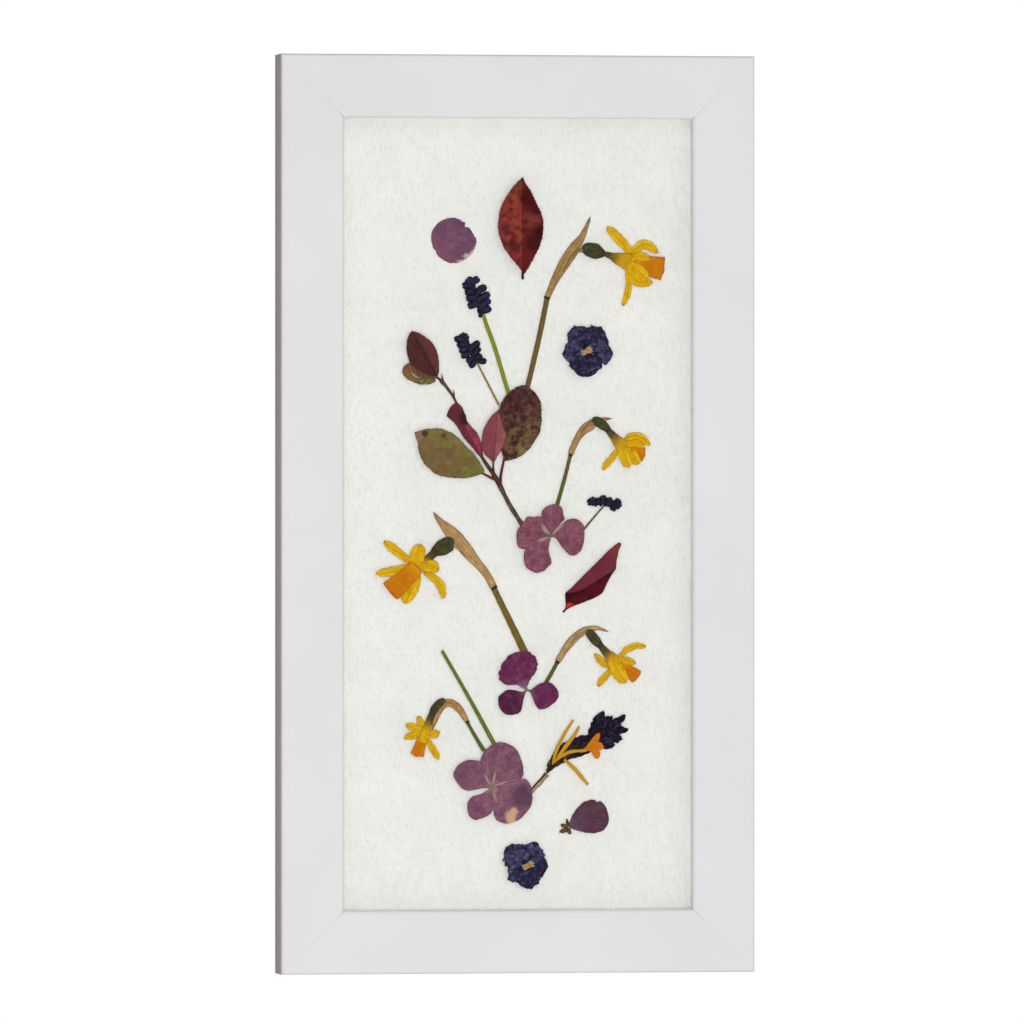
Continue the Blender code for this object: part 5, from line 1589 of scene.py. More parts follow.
@dataclass
class Sprig:
    """A photinia sprig: a woody stem with stipules, and six leaves."""

    stem: Sequence[Station] = (
        (-50.0, 84.6, 1.0),
        (-46.2, 81.9, 1.8),
        (-42.4, 77.0, 1.9),
        (-38.7, 71.5, 1.5),
        (-33.0, 60.0, 1.3),
        (-26.0, 43.5, 1.5),
        (-20.0, 33.0, 1.9),
        (-14.6, 25.2, 2.7),
        (-11.2, 19.6, 3.2),
        (-7.6, 12.6, 2.6),
        (-3.4, 4.6, 2.6),
        (4.0, -7.0, 2.7),
    )
    stipules: Sequence[Sequence[Station]] = (
        ((-45.6, 80.6, 1.5), (-45.8, 83.6, 1.0), (-46.4, 86.6, 0.3)),
        ((-38.8, 71.6, 1.4), (-38.6, 74.0, 0.9), (-38.9, 76.6, 0.3)),
        ((-43.8, 79.0, 1.6), (-46.8, 81.4, 1.2), (-48.6, 84.6, 0.3)),
    )

    def leaves(self) -> list[tuple[str, str, list[Shape]]]:
        """The node, slot and shapes of each leaf."""
        red_stalk = stalk("petiole_red", (112, 52, 50), (78, 34, 36))
        tip = Blade(
            [(-49.4, 84.4), (-65.4, 112.8)], 10.3, 7.8, LEAF_DARK_MAROON,
            level=1.9, fold=0.5, crinkle=0.25, rib=0.25, veins=0.12, lift=(0.5, 0.3, 0, 0.3),
            edges=[
                (0.03, 1.0, 1.2), (0.08, 2.6, 2.7), (0.16, 5.0, 4.3), (0.28, 7.7, 6.1), (0.4, 9.6, 7.4),
                (0.5, 10.3, 7.8), (0.67, 9.3, 7.1), (0.855, 6.2, 4.3), (0.96, 2.8, 1.6),
            ],
            seed=41, cell=0.55,
        )  # fmt: skip
        crease = Shoot(
            [(-63.4, 106.2, 0.5), (-64.0, 99.6, 0.8), (-61.0, 93.6, 0.8), (-53.4, 86.8, 0.5)],
            red_stalk, level=2.2, thick=0.6, cell=0.6,
        )  # fmt: skip
        bud = Blade(
            [(-50.2, 82.2), (-57.5, 84.8), (-64.4, 87.4), (-70.8, 89.2)], 5.6, 6.6, LEAF_BUD, Outline.ROUND,
            level=0.7, crinkle=0.4, crinkle_size=3.0, lift=(0.5, 0, 0, 0.4), ragged=0.3, seed=42,
        )  # fmt: skip
        curls = [
            Shoot(path, VIOLA_BEARD, level=0.9, thick=0.6, cell=0.5, seed=number)
            for number, path in enumerate([
                [(-66.4, 84.6, 0.6), (-63.8, 81.6, 1.3), (-60.0, 81.2, 1.1), (-57.8, 82.8, 0.6)],
                [(-65.2, 87.0, 0.5), (-62.8, 84.8, 0.9), (-60.2, 83.9, 0.5)],
                [(-60.8, 79.9, 0.5), (-57.6, 79.9, 0.8), (-55.0, 80.6, 0.5)],
            ])
        ]  # fmt: skip
        maroon = Blade(
            [(-20.9, 34.2), (-38.3, 68.5)], 8.0, 4.1, LEAF_MAROON, level=1.9, fold=-0.3, crinkle=0.3,
            lift=(0.2, 0.5, 0, 0),
            edges=[
                (0.08, 1.5, 1.7), (0.225, 2.6, 3.2), (0.37, 4.2, 4.1), (0.5, 5.0, 3.1), (0.62, 5.4, 1.7),
                (0.73, 5.9, 2.5), (0.85, 7.8, 2.9), (0.9, 7.2, 2.7), (0.97, 3.8, 1.6),
            ],
            seed=43, cell=0.5,
        )  # fmt: skip
        rose = Blade(
            [(-14.5, 31.4), (-11.4, 64.4)], 8.5, 6.5, LEAF_ROSE, level=2.7, fold=0.35, crinkle=0.2, rib=0.3,
            veins=0.1,
            edges=[
                (0.03, 1.0, 0.7), (0.08, 3.1, 1.5), (0.15, 5.8, 2.5), (0.25, 8.1, 4.2), (0.37, 8.5, 5.7),
                (0.49, 8.4, 6.5), (0.59, 8.1, 5.9), (0.69, 6.9, 4.2), (0.87, 3.9, 1.8), (0.96, 1.2, 0.6),
            ],
            seed=44, cell=0.5,
        )  # fmt: skip
        olive = Blade(
            [(-19.8, 26.0), (-63.8, 50.2)], 15.7, 11.0, LEAF_OLIVE, level=1.5, fold=0.3, crinkle=0.3, rib=0.25,
            veins=0.12, teeth=0.6, pitch=2.1, ragged=0.25, lift=(0.5, 0.8, 0, 0.5),
            edges=[
                (0.04, 3.0, 1.7), (0.14, 7.8, 4.6), (0.25, 11.3, 7.0), (0.37, 13.9, 8.7), (0.5, 15.6, 10.6),
                (0.63, 15.0, 11.0), (0.74, 12.9, 10.0), (0.84, 8.8, 7.2), (0.9, 4.6, 5.2), (0.95, 2.3, 2.8),
            ],
            seed=45, cell=0.6,
        )  # fmt: skip
        spotted = Blade(
            [(-7.3, 32.6), (6.0, 79.4)], 12.4, 16.1, LEAF_SPOTTED, level=2.0, fold=0.4, crinkle=0.3, rib=0.3,
            veins=0.14, teeth=0.45, pitch=2.2, ragged=0.25,
            edges=[
                (0.047, 1.8, 4.3), (0.116, 3.8, 8.8), (0.24, 7.4, 12.8), (0.35, 9.6, 14.7), (0.47, 11.2, 16.1),
                (0.6, 12.2, 15.6), (0.74, 11.6, 13.8), (0.865, 8.6, 11.0), (0.94, 5.6, 6.8), (0.985, 2.6, 2.8),
            ],
            seed=46, cell=0.6,
        )  # fmt: skip
        stalks = {
            "rose": Shoot([(-13.6, 23.6, 1.7), (-14.4, 27.4, 1.4), (-14.4, 33.0, 1.0)], red_stalk, level=1.9, thick=0.9, tip_level=2.4),
            "olive": Shoot([(-11.6, 20.6, 1.9), (-16.0, 22.6, 1.6), (-21.4, 25.4, 1.2)], red_stalk, level=1.6, thick=0.9, tip_level=1.2),
            "spotted": Shoot([(-9.8, 17.6, 1.9), (-9.6, 24.0, 1.7), (-7.4, 34.8, 1.3)], red_stalk, level=1.6, thick=0.9, tip_level=1.8),
            "maroon": Shoot([(-19.2, 31.0, 1.5), (-20.2, 33.0, 1.6), (-21.8, 36.0, 1.2)], red_stalk, level=1.6, thick=0.8),
        }  # fmt: skip
        return [
            ("sprig_leaf_tip", "maroon_leaf", [tip, crease]),
            ("sprig_leaf_bud", "olive_leaf", [bud, *curls]),
            ("sprig_leaf_maroon", "maroon_leaf", [maroon, stalks["maroon"]]),
            ("sprig_leaf_rose", "maroon_leaf", [rose, stalks["rose"]]),
            ("sprig_leaf_olive", "olive_leaf", [olive, stalks["olive"]]),
            ("sprig_leaf_spotted", "olive_leaf", [spotted, stalks["spotted"]]),
        ]

    def build(self) -> None:
        """Builds the stem and the leaves."""
        shapes: list[Shape] = [Shoot(self.stem, BARK, thick=1.4, grooves=0.08, groove_count=5, wobble=0.12, seed=4)]
        red_stalk = stalk("stipule_red", (104, 50, 48), (76, 36, 36))
        shapes += [Shoot(path, red_stalk, thick=0.8, cell=0.5) for path in self.stipules]
        make_piece("sprig_stem_woody", shapes, "sprig_stem")
        for node, slot, parts in self.leaves():
            make_piece(node + "_pressed", parts, node)


class LooseLeaves:
    """The single leaves and petals, and the bare stem."""

    def build(self) -> None:
        """Builds each loose piece."""
        dark_stalk = stalk("petiole_dark", (66, 32, 24), (44, 22, 18))
        red = Blade(
            [(4.5, 147.8), (4.1, 168.0), (4.0, 190.0), (4.0, 208.0)], 15.5, 12.9, LEAF_RED, level=0.9, fold=0.5,
            crinkle=0.2, crinkle_size=7.0, rib=0.3, veins=0.1, teeth=0.7, pitch=2.3, lift=(1.8, 0.2, 0, 0.2),
            edges=[
                (0.02, 0.7, 1.3), (0.09, 3.6, 4.1), (0.19, 8.4, 7.4), (0.28, 12.0, 10.4), (0.37, 14.3, 12.2),
                (0.465, 15.5, 12.9), (0.56, 15.2, 12.9), (0.65, 14.6, 11.2), (0.74, 12.4, 8.5), (0.835, 9.0, 5.9),
                (0.93, 4.4, 2.1), (0.975, 1.6, 0.8),
            ],
            seed=51, cell=0.55,
        )  # fmt: skip
        foot = Shoot([(4.3, 144.9, 1.7), (4.2, 147.0, 1.5), (4.1, 150.4, 0.9)], dark_stalk, thick=1.2)
        make_piece("red_leaf_pressed", [red, foot], "red_leaf")
        flap = Blade(
            [(31.6, -48.4), (65.2, -17.8)], 1.6, 10.1, LEAF_BURGUNDY_FLAP, level=2.1, crinkle=0.22,
            lift=(0.0, 0.5, 0, 0.3), ragged=0.12,
            edges=[
                (0.02, 0.3, 1.4), (0.13, 0.3, 4.3), (0.31, 0.7, 6.9), (0.5, 1.0, 8.3), (0.68, 1.3, 10.0),
                (0.73, 1.4, 9.2), (0.8, 1.5, 6.4), (0.9, 1.4, 3.1), (0.98, 1.0, 1.4),
            ],
            seed=52, cell=0.5,
        )  # fmt: skip
        burgundy = Blade(
            [(30.4, -59.5), (61.9, -34.9)], 8.2, 5.9, LEAF_BURGUNDY, level=1.0, fold=-0.4, crinkle=0.3,
            lift=(0.2, 0.4, 0, 0.2), ragged=0.15,
            edges=[
                (0.03, 0.9, 0.4), (0.066, 2.2, 0.6), (0.13, 6.0, 1.2), (0.19, 8.2, 1.9), (0.35, 6.4, 3.9),
                (0.5, 4.8, 5.6), (0.64, 3.9, 5.9), (0.79, 3.0, 2.9), (0.95, 0.8, 0.5),
            ],
            seed=55, cell=0.5,
        )  # fmt: skip
        foot = Shoot([(29.6, -60.6, 1.4), (31.0, -58.8, 1.0)], dark_stalk, thick=0.9, cell=0.4)
        make_piece("burgundy_leaf_folded", [burgundy, flap, foot], "burgundy_leaf")
        mauve = Blade(
            [(-30.2, 157.8), (-39.6, 169.2), (-48.8, 179.4)], 13.0, 12.6, PETAL_MAUVE, level=0.4, crinkle=0.16,
            ragged=0.35, bites=((0.55, -1, -1.4, 0.03), (0.62, -1, 0.5, 0.05), (0.84, -1, 0.8, 0.05)), seed=53, cell=0.5,
            edges=[
                (0.03, 5.0, 5.4), (0.1, 8.4, 9.0), (0.25, 11.8, 12.0), (0.5, 13.0, 12.6), (0.75, 11.4, 11.2),
                (0.9, 7.9, 7.8), (0.97, 4.4, 4.4),
            ],
        )  # fmt: skip
        make_piece("mauve_petal_pressed", [mauve], "mauve_petal")
        plum = Blade(
            [(33.0, -193.0), (45.0, -188.0), (57.4, -184.4)], 10.6, 10.2, PETAL_PLUM, Outline.PETAL, level=0.6,
            crinkle=0.2, ragged=0.25, bites=((0.83, 1, -1.6, 0.04),), lift=(0.2, 0.2, 0, 0.6), seed=54, cell=0.55,
        )  # fmt: skip
        scraps = [
            ([(33.2, -193.0), (30.0, -192.6), (28.2, -191.2)], 1.3),
            ([(33.4, -193.6), (30.6, -195.0), (27.0, -196.6)], 1.4),
            ([(33.4, -193.8), (33.2, -196.0), (34.8, -197.6)], 1.2),
            ([(33.6, -192.6), (32.0, -190.2), (31.8, -188.0)], 1.1),
        ]
        calyx = [
            Blade(path, half, half, CALYX, level=0.9 + 0.2 * index, crinkle=0.3, crinkle_size=1.5, ragged=0.3, seed=60 + index, cell=0.35)
            for index, (path, half) in enumerate(scraps)
        ]  # fmt: skip
        make_piece("dark_petal_pressed", [plum, *calyx], "dark_petal")
        green = stalk("bare_stem_green", (126, 134, 46), (84, 94, 28))
        bare = Shoot([(-46.2, -84.2, 2.0), (-29.8, -112.5, 2.3), (-13.0, -143.0, 2.8)], green)
        make_piece("green_stem_bare", [bare], "green_stem")


class Crocus:
    """A withered crocus: a papery stem, a dark shrivelled flower and yellow filaments."""

    def build_stem(self) -> bpy.types.Object:
        """Builds the papery stem with its dark strand."""
        tan = papery("crocus_stem_tan", (178, 150, 116), (120, 94, 66))
        dark = stalk("crocus_strand", (70, 54, 38), (42, 32, 24))
        shapes: list[Shape] = [
            Shoot([(8.0, -173.0, 2.2), (13.5, -167.4, 2.8), (19.4, -160.4, 3.4)], tan, thick=0.9, wobble=0.2),
            Shoot([(8.6, -171.0, 0.8), (13.4, -165.6, 1.0), (18.4, -160.6, 0.9)], dark, level=0.9, thick=0.6),
        ]
        return make_piece("crocus_stem_papery", shapes, "crocus_stem")

    def build_flower(self) -> bpy.types.Object:
        """Builds the flower from shrivelled blades, crumpled tips and filaments."""
        shapes: list[Shape] = []
        petals = [
            ([(19.0, -160.4), (23.5, -153.5), (32.0, -147.4), (42.0, -143.6), (53.0, -140.6)], 4.4, CROCUS_OLIVE, 1.4),
            ([(20.4, -157.0), (26.0, -148.2), (36.0, -141.8), (51.0, -136.0)], 3.4, CROCUS_VIOLET, 1.0),
            ([(20.0, -159.4), (28.0, -151.8), (40.0, -147.8), (53.0, -144.4)], 2.0, CROCUS_VIOLET, 0.8),
            ([(46.0, -140.0), (50.0, -131.4), (54.0, -122.4)], 3.6, CROCUS_VIOLET, 1.2),
            ([(48.0, -138.0), (55.0, -131.0), (59.4, -125.0)], 3.2, CROCUS_VIOLET, 1.8),
            ([(48.0, -139.0), (58.0, -131.6), (68.2, -124.8)], 2.6, CROCUS_VIOLET, 2.1),
            ([(47.0, -139.8), (58.0, -134.6), (69.2, -132.8)], 3.4, CROCUS_VIOLET, 1.6),
            ([(47.0, -141.2), (57.0, -138.6), (66.0, -138.8)], 3.2, CROCUS_VIOLET, 2.4),
            ([(46.0, -142.2), (54.0, -141.8), (61.4, -143.2)], 2.9, CROCUS_VIOLET, 1.3),
            ([(50.0, -136.4), (57.0, -134.2), (65.0, -130.4)], 2.8, CROCUS_VIOLET, 2.6),
        ]
        for index, (path, half, finish, level) in enumerate(petals):
            shapes.append(
                Blade(
                    path, half, half, finish, Outline.SPATHE if index < 3 else Outline.STRAP, level=level,
                    crinkle=0.6, crinkle_size=2.4, ragged=0.4, ragged_size=1.7, fold=-0.3, frill=1.2,
                    seed=70 + index, cell=0.4,
                )
            )  # fmt: skip
        oranges = [
            ([(41.0, -146.0), (48.0, -143.6), (54.6, -143.4)], 2.7, 3.0),
            ([(43.0, -145.2), (48.0, -140.6), (51.8, -135.4)], 1.9, 3.2),
            ([(46.5, -145.0), (49.6, -147.6), (50.8, -150.6)], 2.2, 2.9),
        ]
        for index, (path, half, level) in enumerate(oranges):
            shapes.append(
                Blade(
                    path, half, half, CROCUS_ORANGE, Outline.PETAL, level=level, crinkle=0.3, crinkle_size=2.0,
                    ragged=0.25, frill=0.6, seed=80 + index, cell=0.4,
                )
            )  # fmt: skip
        filaments = [
            ([(22.6, -154.6, 1.2), (25.0, -146.0, 2.2), (29.6, -136.6, 1.9), (35.6, -127.0, 1.6)], 2.2),
            ([(23.6, -153.6, 1.2), (29.6, -145.0, 2.4), (35.6, -137.4, 2.1), (39.2, -131.2, 1.7)], 2.6),
            ([(30.0, -151.4, 1.8), (36.6, -157.6, 2.6), (45.0, -167.2, 1.9)], 1.2),
            ([(24.4, -152.0, 1.4), (33.0, -147.0, 2.2), (44.0, -146.0, 1.6)], 2.6),
        ]
        for index, (path, level) in enumerate(filaments):
            shapes.append(Shoot(path, FILAMENT, level=level, thick=0.8, wobble=0.12, seed=90 + index, cell=0.6))
        return make_piece("crocus_flower_withered", shapes, "crocus_flower")

    def build(self) -> None:
        """Builds the two pieces."""
        self.build_stem()
        self.build_flower()


# The frame and what it holds ------------------------------------------------------------------


def dress(nodes: Sequence[str], mat: bpy.types.Material) -> None:
    """Gives nodes of the model a material and reports them."""
    for node in nodes:
        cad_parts[node].material_slots[0].material = mat
        LOG.info("%s: dressed with %s", node, mat.name)


def new_material(name: str) -> tuple[bpy.types.Material, Graph, bpy.types.Node]:
    """A new node material.

    Args:
        name: The material's name.

    Returns:
        The material, its graph and its Principled shader.
    """
    mat = bpy.data.materials.new(name)
    mat.use_nodes = True
    return mat, Graph(mat.node_tree), mat.node_tree.nodes["Principled BSDF"]


@dataclass(frozen=True)
class PaintedWood:
    """White satin paint on wood: faint roller grain, slight unevenness, and edges lightened in patches: rubbed paint
    and a painted highlight.
    """

    colour: Rgb = (225, 226, 229)
    shade: Rgb = (219, 220, 223)
    worn_and_highlight: Rgb = (240, 240, 240)
    roughness: tuple[float, float] = (0.38, 0.52)

    def edge_wear_and_highlight_group(self) -> bpy.types.NodeTree:
        """A group whose mask is one along the edges in patches, where the paint is rubbed and a highlight is painted.
        """
        tree = bpy.data.node_groups.new("Edge highlight and wear", "ShaderNodeTree")
        for name, value in (("Radius", 0.0008), ("Reach", 0.05)):
            tree.interface.new_socket(name, in_out="INPUT", socket_type="NodeSocketFloat").default_value = value
        tree.interface.new_socket("Mask", in_out="OUTPUT", socket_type="NodeSocketFloat")
        g = Graph(tree)
        entry, exit_node = tree.nodes.new("NodeGroupInput"), tree.nodes.new("NodeGroupOutput")
        rounded = g.add("Bevel", {"Radius": entry.outputs["Radius"]}, samples=4).outputs[0]
        facing = g.add("NewGeometry").outputs["Normal"]
        turn = g.add("VectorMath", {0: rounded, 1: facing}, operation="DOT_PRODUCT").outputs["Value"]
        edge = g.smooth(g.math("SUBTRACT", 1.0, turn), 0.0, entry.outputs["Reach"])
        patchy = g.group(PatternGroups.get(Pattern.MOTTLE), size=9.0, level=0.48, softness=0.2)
        g.feed(exit_node.inputs["Mask"], g.math("MULTIPLY", edge, patchy))
        return tree

    def material(self) -> bpy.types.Material:
        """The paint's material."""
        mat, g, shader = new_material("white_satin_paint")
        mottle = PatternGroups.get(Pattern.MOTTLE)
        broad = g.group(mottle, size=90.0, level=0.5, softness=0.25, seed=4.0)
        roller = g.group(mottle, size=0.7, level=0.5, softness=0.4, seed=1.0)
        fine = g.group(mottle, size=14.0, level=0.5, softness=0.3, seed=9.0)
        edge = g.group(self.edge_wear_and_highlight_group())
        colour = g.mix(g.math("MULTIPLY", broad, 0.8), self.colour, self.shade)
        # painted highlight: the edges are lightened in colour, partly as rubbed paint
        colour = g.mix(g.math("MULTIPLY", edge, 0.5), colour, self.worn_and_highlight)
        height = g.math("ADD", g.math("MULTIPLY", roller, 0.012), g.math("MULTIPLY", fine, 0.03))
        bump = g.add("Bump", {"Strength": 1.0, "Distance": MM, "Height": height})
        g.feed(shader.inputs["Base Color"], colour)
        g.feed(shader.inputs["Roughness"], g.span(fine, *self.roughness))
        g.feed(shader.inputs["Normal"], bump.outputs[0])
        return mat


@dataclass(frozen=True)
class ClearGlass:
    """Thin clear glass: its front mirrors a little, and the rest passes straight through."""

    tint: Rgb = (254, 255, 255)
    index: float = 1.5

    def material(self) -> bpy.types.Material:
        """The glass's material: a mirror share by Fresnel over a clear shader."""
        mat, g, shader = new_material("clear_glass")
        mat.node_tree.nodes.remove(shader)
        out = mat.node_tree.nodes["Material Output"]
        mirror = g.add("Fresnel", {"IOR": self.index}).outputs[0]
        front = g.math("SUBTRACT", 1.0, g.add("NewGeometry").outputs["Backfacing"])
        smudge = g.group(PatternGroups.get(Pattern.MOTTLE), size=40.0, level=0.5, softness=0.3, seed=5.0)
        gloss = g.add("BsdfAnisotropic", {"Color": (1, 1, 1, 1), "Roughness": g.span(smudge, 0.01, 0.05)})
        clear = g.add("BsdfTransparent", {"Color": linear(self.tint)})
        values = {0: g.math("MULTIPLY", mirror, front), 1: clear.outputs[0], 2: gloss.outputs[0]}
        g.feed(out.inputs["Surface"], g.add("MixShader", values).outputs[0])
        return mat


@dataclass(frozen=True)
class SheetMetal:
    """Bright plated metal with rolling streaks and dull spots."""

    name: str
    colour: Rgb
    dull: Rgb
    roughness: tuple[float, float] = (0.28, 0.5)

    def material(self) -> bpy.types.Material:
        """The metal's material."""
        mat, g, shader = new_material(self.name)
        mottle = PatternGroups.get(Pattern.MOTTLE)
        patch = g.group(mottle, size=3.0, level=0.52, softness=0.12, seed=3.0)
        fine = g.group(mottle, size=0.5, level=0.5, softness=0.3, seed=6.0)
        g.feed(shader.inputs["Base Color"], g.mix(patch, self.colour, self.dull))
        g.feed(shader.inputs["Roughness"], g.span(patch, *self.roughness))
        bump = g.add("Bump", {"Strength": 1.0, "Distance": MM, "Height": g.math("MULTIPLY", fine, 0.02)})
        g.feed(shader.inputs["Normal"], bump.outputs[0])
        shader.inputs["Metallic"].default_value = 1.0
        return mat


@dataclass(frozen=True)
class PressedBoard:
    """Brown hardboard: short fibres in every direction, and darker flecks."""

    name: str
    colour: Rgb
    dark: Rgb
    light: Rgb
    roughness: tuple[float, float] = (0.7, 0.9)

    def material(self) -> bpy.types.Material:
        """The board's material."""
        mat, g, shader = new_material(self.name)
        mottle = PatternGroups.get(Pattern.MOTTLE)
        net = g.group(PatternGroups.get(Pattern.NET), size=1.6, softness=0.2, seed=2.0)
        fleck = g.group(mottle, size=1.1, level=0.6, softness=0.05, seed=8.0)
        cloud = g.group(mottle, size=35.0, level=0.5, softness=0.25, seed=1.0)
        colour = g.mix(g.math("MULTIPLY", cloud, 0.6), self.colour, self.light)
        colour = g.mix(g.math("MULTIPLY", net, 0.45), colour, self.light)
        colour = g.mix(g.math("MULTIPLY", fleck, 0.7), colour, self.dark)
        height = g.math("ADD", g.math("MULTIPLY", net, 0.05), g.math("MULTIPLY", fleck, -0.04))
        g.feed(shader.inputs["Base Color"], colour)
        g.feed(shader.inputs["Roughness"], g.span(cloud, *self.roughness))
        bump = g.add("Bump", {"Strength": 1.0, "Distance": MM, "Height": height})
        g.feed(shader.inputs["Normal"], bump.outputs[0])
        return mat


@dataclass
class Moulding:
    """One mitred rail of the frame, in millimetres, with softly rounded edges."""

    side: str
    half_size: float  # from the frame's middle to the rail's outer face
    half_length: float
    width: float = 39.0
    depth: float = 28.0
    lip: float = 5.0
    rebate: float = 6.0
    outer_radius: float = 2.0
    inner_radius: float = 2.6
    back_radius: float = 0.6
    joint: float = 0.035
    waviness: float = 0.05
    rows: int = 48

    def round(self, middle: Station, radius: float, start: float) -> list[Station]:
        """A quarter circle of (inset, depth) from a start angle in degrees."""
        turns = np.radians(np.linspace(start, start + 90, 7))
        return [(middle[0] + radius * math.cos(turn), middle[1] + radius * math.sin(turn)) for turn in turns]

    def section(self) -> Array:
        """The section as (inset from the outer face, depth behind the front face)."""
        r, inner, back = self.outer_radius, self.inner_radius, self.back_radius
        flat = np.linspace(r, self.width - inner, 9)[1:-1]
        points = self.round((back, self.depth - back), back, 90)
        points += self.round((r, r), r, 180)
        points += [(float(inset), 0.0) for inset in flat]
        points += self.round((self.width - inner, inner), inner, 270)
        points += [(self.width, self.lip), (self.width - self.rebate, self.lip), (self.width - self.rebate, self.depth)]
        return np.array(points)

    def place(self, out: Array, along: Array) -> tuple[Array, Array]:
        """The x and z of places measured outwards from the middle and along the rail."""
        places = {"right": (out, along), "top": (-along, out), "left": (-out, -along), "bottom": (along, -out)}
        return places[self.side]

    def build(self, paint: bpy.types.Material) -> bpy.types.Object:
        """Builds the rail.

        Args:
            paint: Its material.

        Returns:
            The rail, which stands for the model's.
        """
        section = self.section()
        share = np.linspace(-1, 1, self.rows)[:, None]
        inset, depth = section[None, :, 0], section[None, :, 1]
        joint = self.joint * (1 + 4 * (inset / self.width) ** 16)
        along = share * (self.half_length - inset - joint)
        out = self.half_size - inset + 0 * along
        wave = 0.5 + 0.5 * soft_noise(along / 45, inset / 30 + 0 * along, 5)
        on_face = (depth < self.lip / 2) & (inset > self.outer_radius / 2)
        depth = depth + self.waviness * wave * on_face
        x, z = self.place(out, along)
        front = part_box("frame_rail_top")[0].y
        y = front + depth * MM
        points = np.column_stack([x.ravel() * MM, y.ravel(), CENTRE_Z + z.ravel() * MM])
        index = np.arange(points.shape[0]).reshape(self.rows, len(section))
        beside = np.roll(index, -1, axis=1)
        quads = np.stack([index[:-1], beside[:-1], beside[1:], index[1:]], axis=-1)
        faces = [tuple(quad) for quad in quads.reshape(-1, 4).tolist()]
        faces += [tuple(index[0].tolist()), tuple(index[-1].tolist())]
        name = f"rail_{self.side}_moulded"
        mesh = bpy.data.meshes.new(name)
        mesh.from_pydata(points.tolist(), [], faces)
        shape = bmesh.new()
        shape.from_mesh(mesh)
        bmesh.ops.recalc_face_normals(shape, faces=shape.faces)
        shape.to_mesh(mesh)
        shape.free()
        mesh.shade_smooth()
        mesh.set_sharp_from_angle(angle=math.radians(35))
        mesh.materials.append(paint)
        piece = bpy.data.objects.new(name, mesh)
        bpy.context.scene.collection.objects.link(piece)
        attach(piece, BODY)
        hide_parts(f"frame_rail_{self.side}")
        LOG.info("%s: %d faces, stands for frame_rail_%s", name, len(faces), self.side)
        return piece


class WoodenFrame:
    """The four mitred rails, with their hanger, nails and retaining tabs."""

    tabs = tuple(f"retaining_tab_{number}" for number in range(1, 7))

    def build(self) -> None:
        """Builds the rails and dresses the hardware."""
        paint = PaintedWood().material()
        half_w, half_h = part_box("frame_rail_top")[1].x / MM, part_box("frame_rail_top")[1].z / MM - CENTRE_Z / MM
        for side, half_size, half_length in (
            ("top", half_h, half_w),
            ("right", half_w, half_h),
            ("bottom", half_h, half_w),
            ("left", half_w, half_h),
        ):
            Moulding(side, half_size, half_length).build(paint)
        dress(self.tabs, SheetMetal("tab_steel", (168, 170, 174), (132, 132, 134)).material())
        dress(["wall_hanger"], SheetMetal("zinc_plate", (186, 188, 186), (140, 142, 142)).material())
        nails = SheetMetal("nail_steel", (176, 172, 160), (120, 112, 98)).material()
        dress(["hanger_nail_left", "hanger_nail_right"], nails)


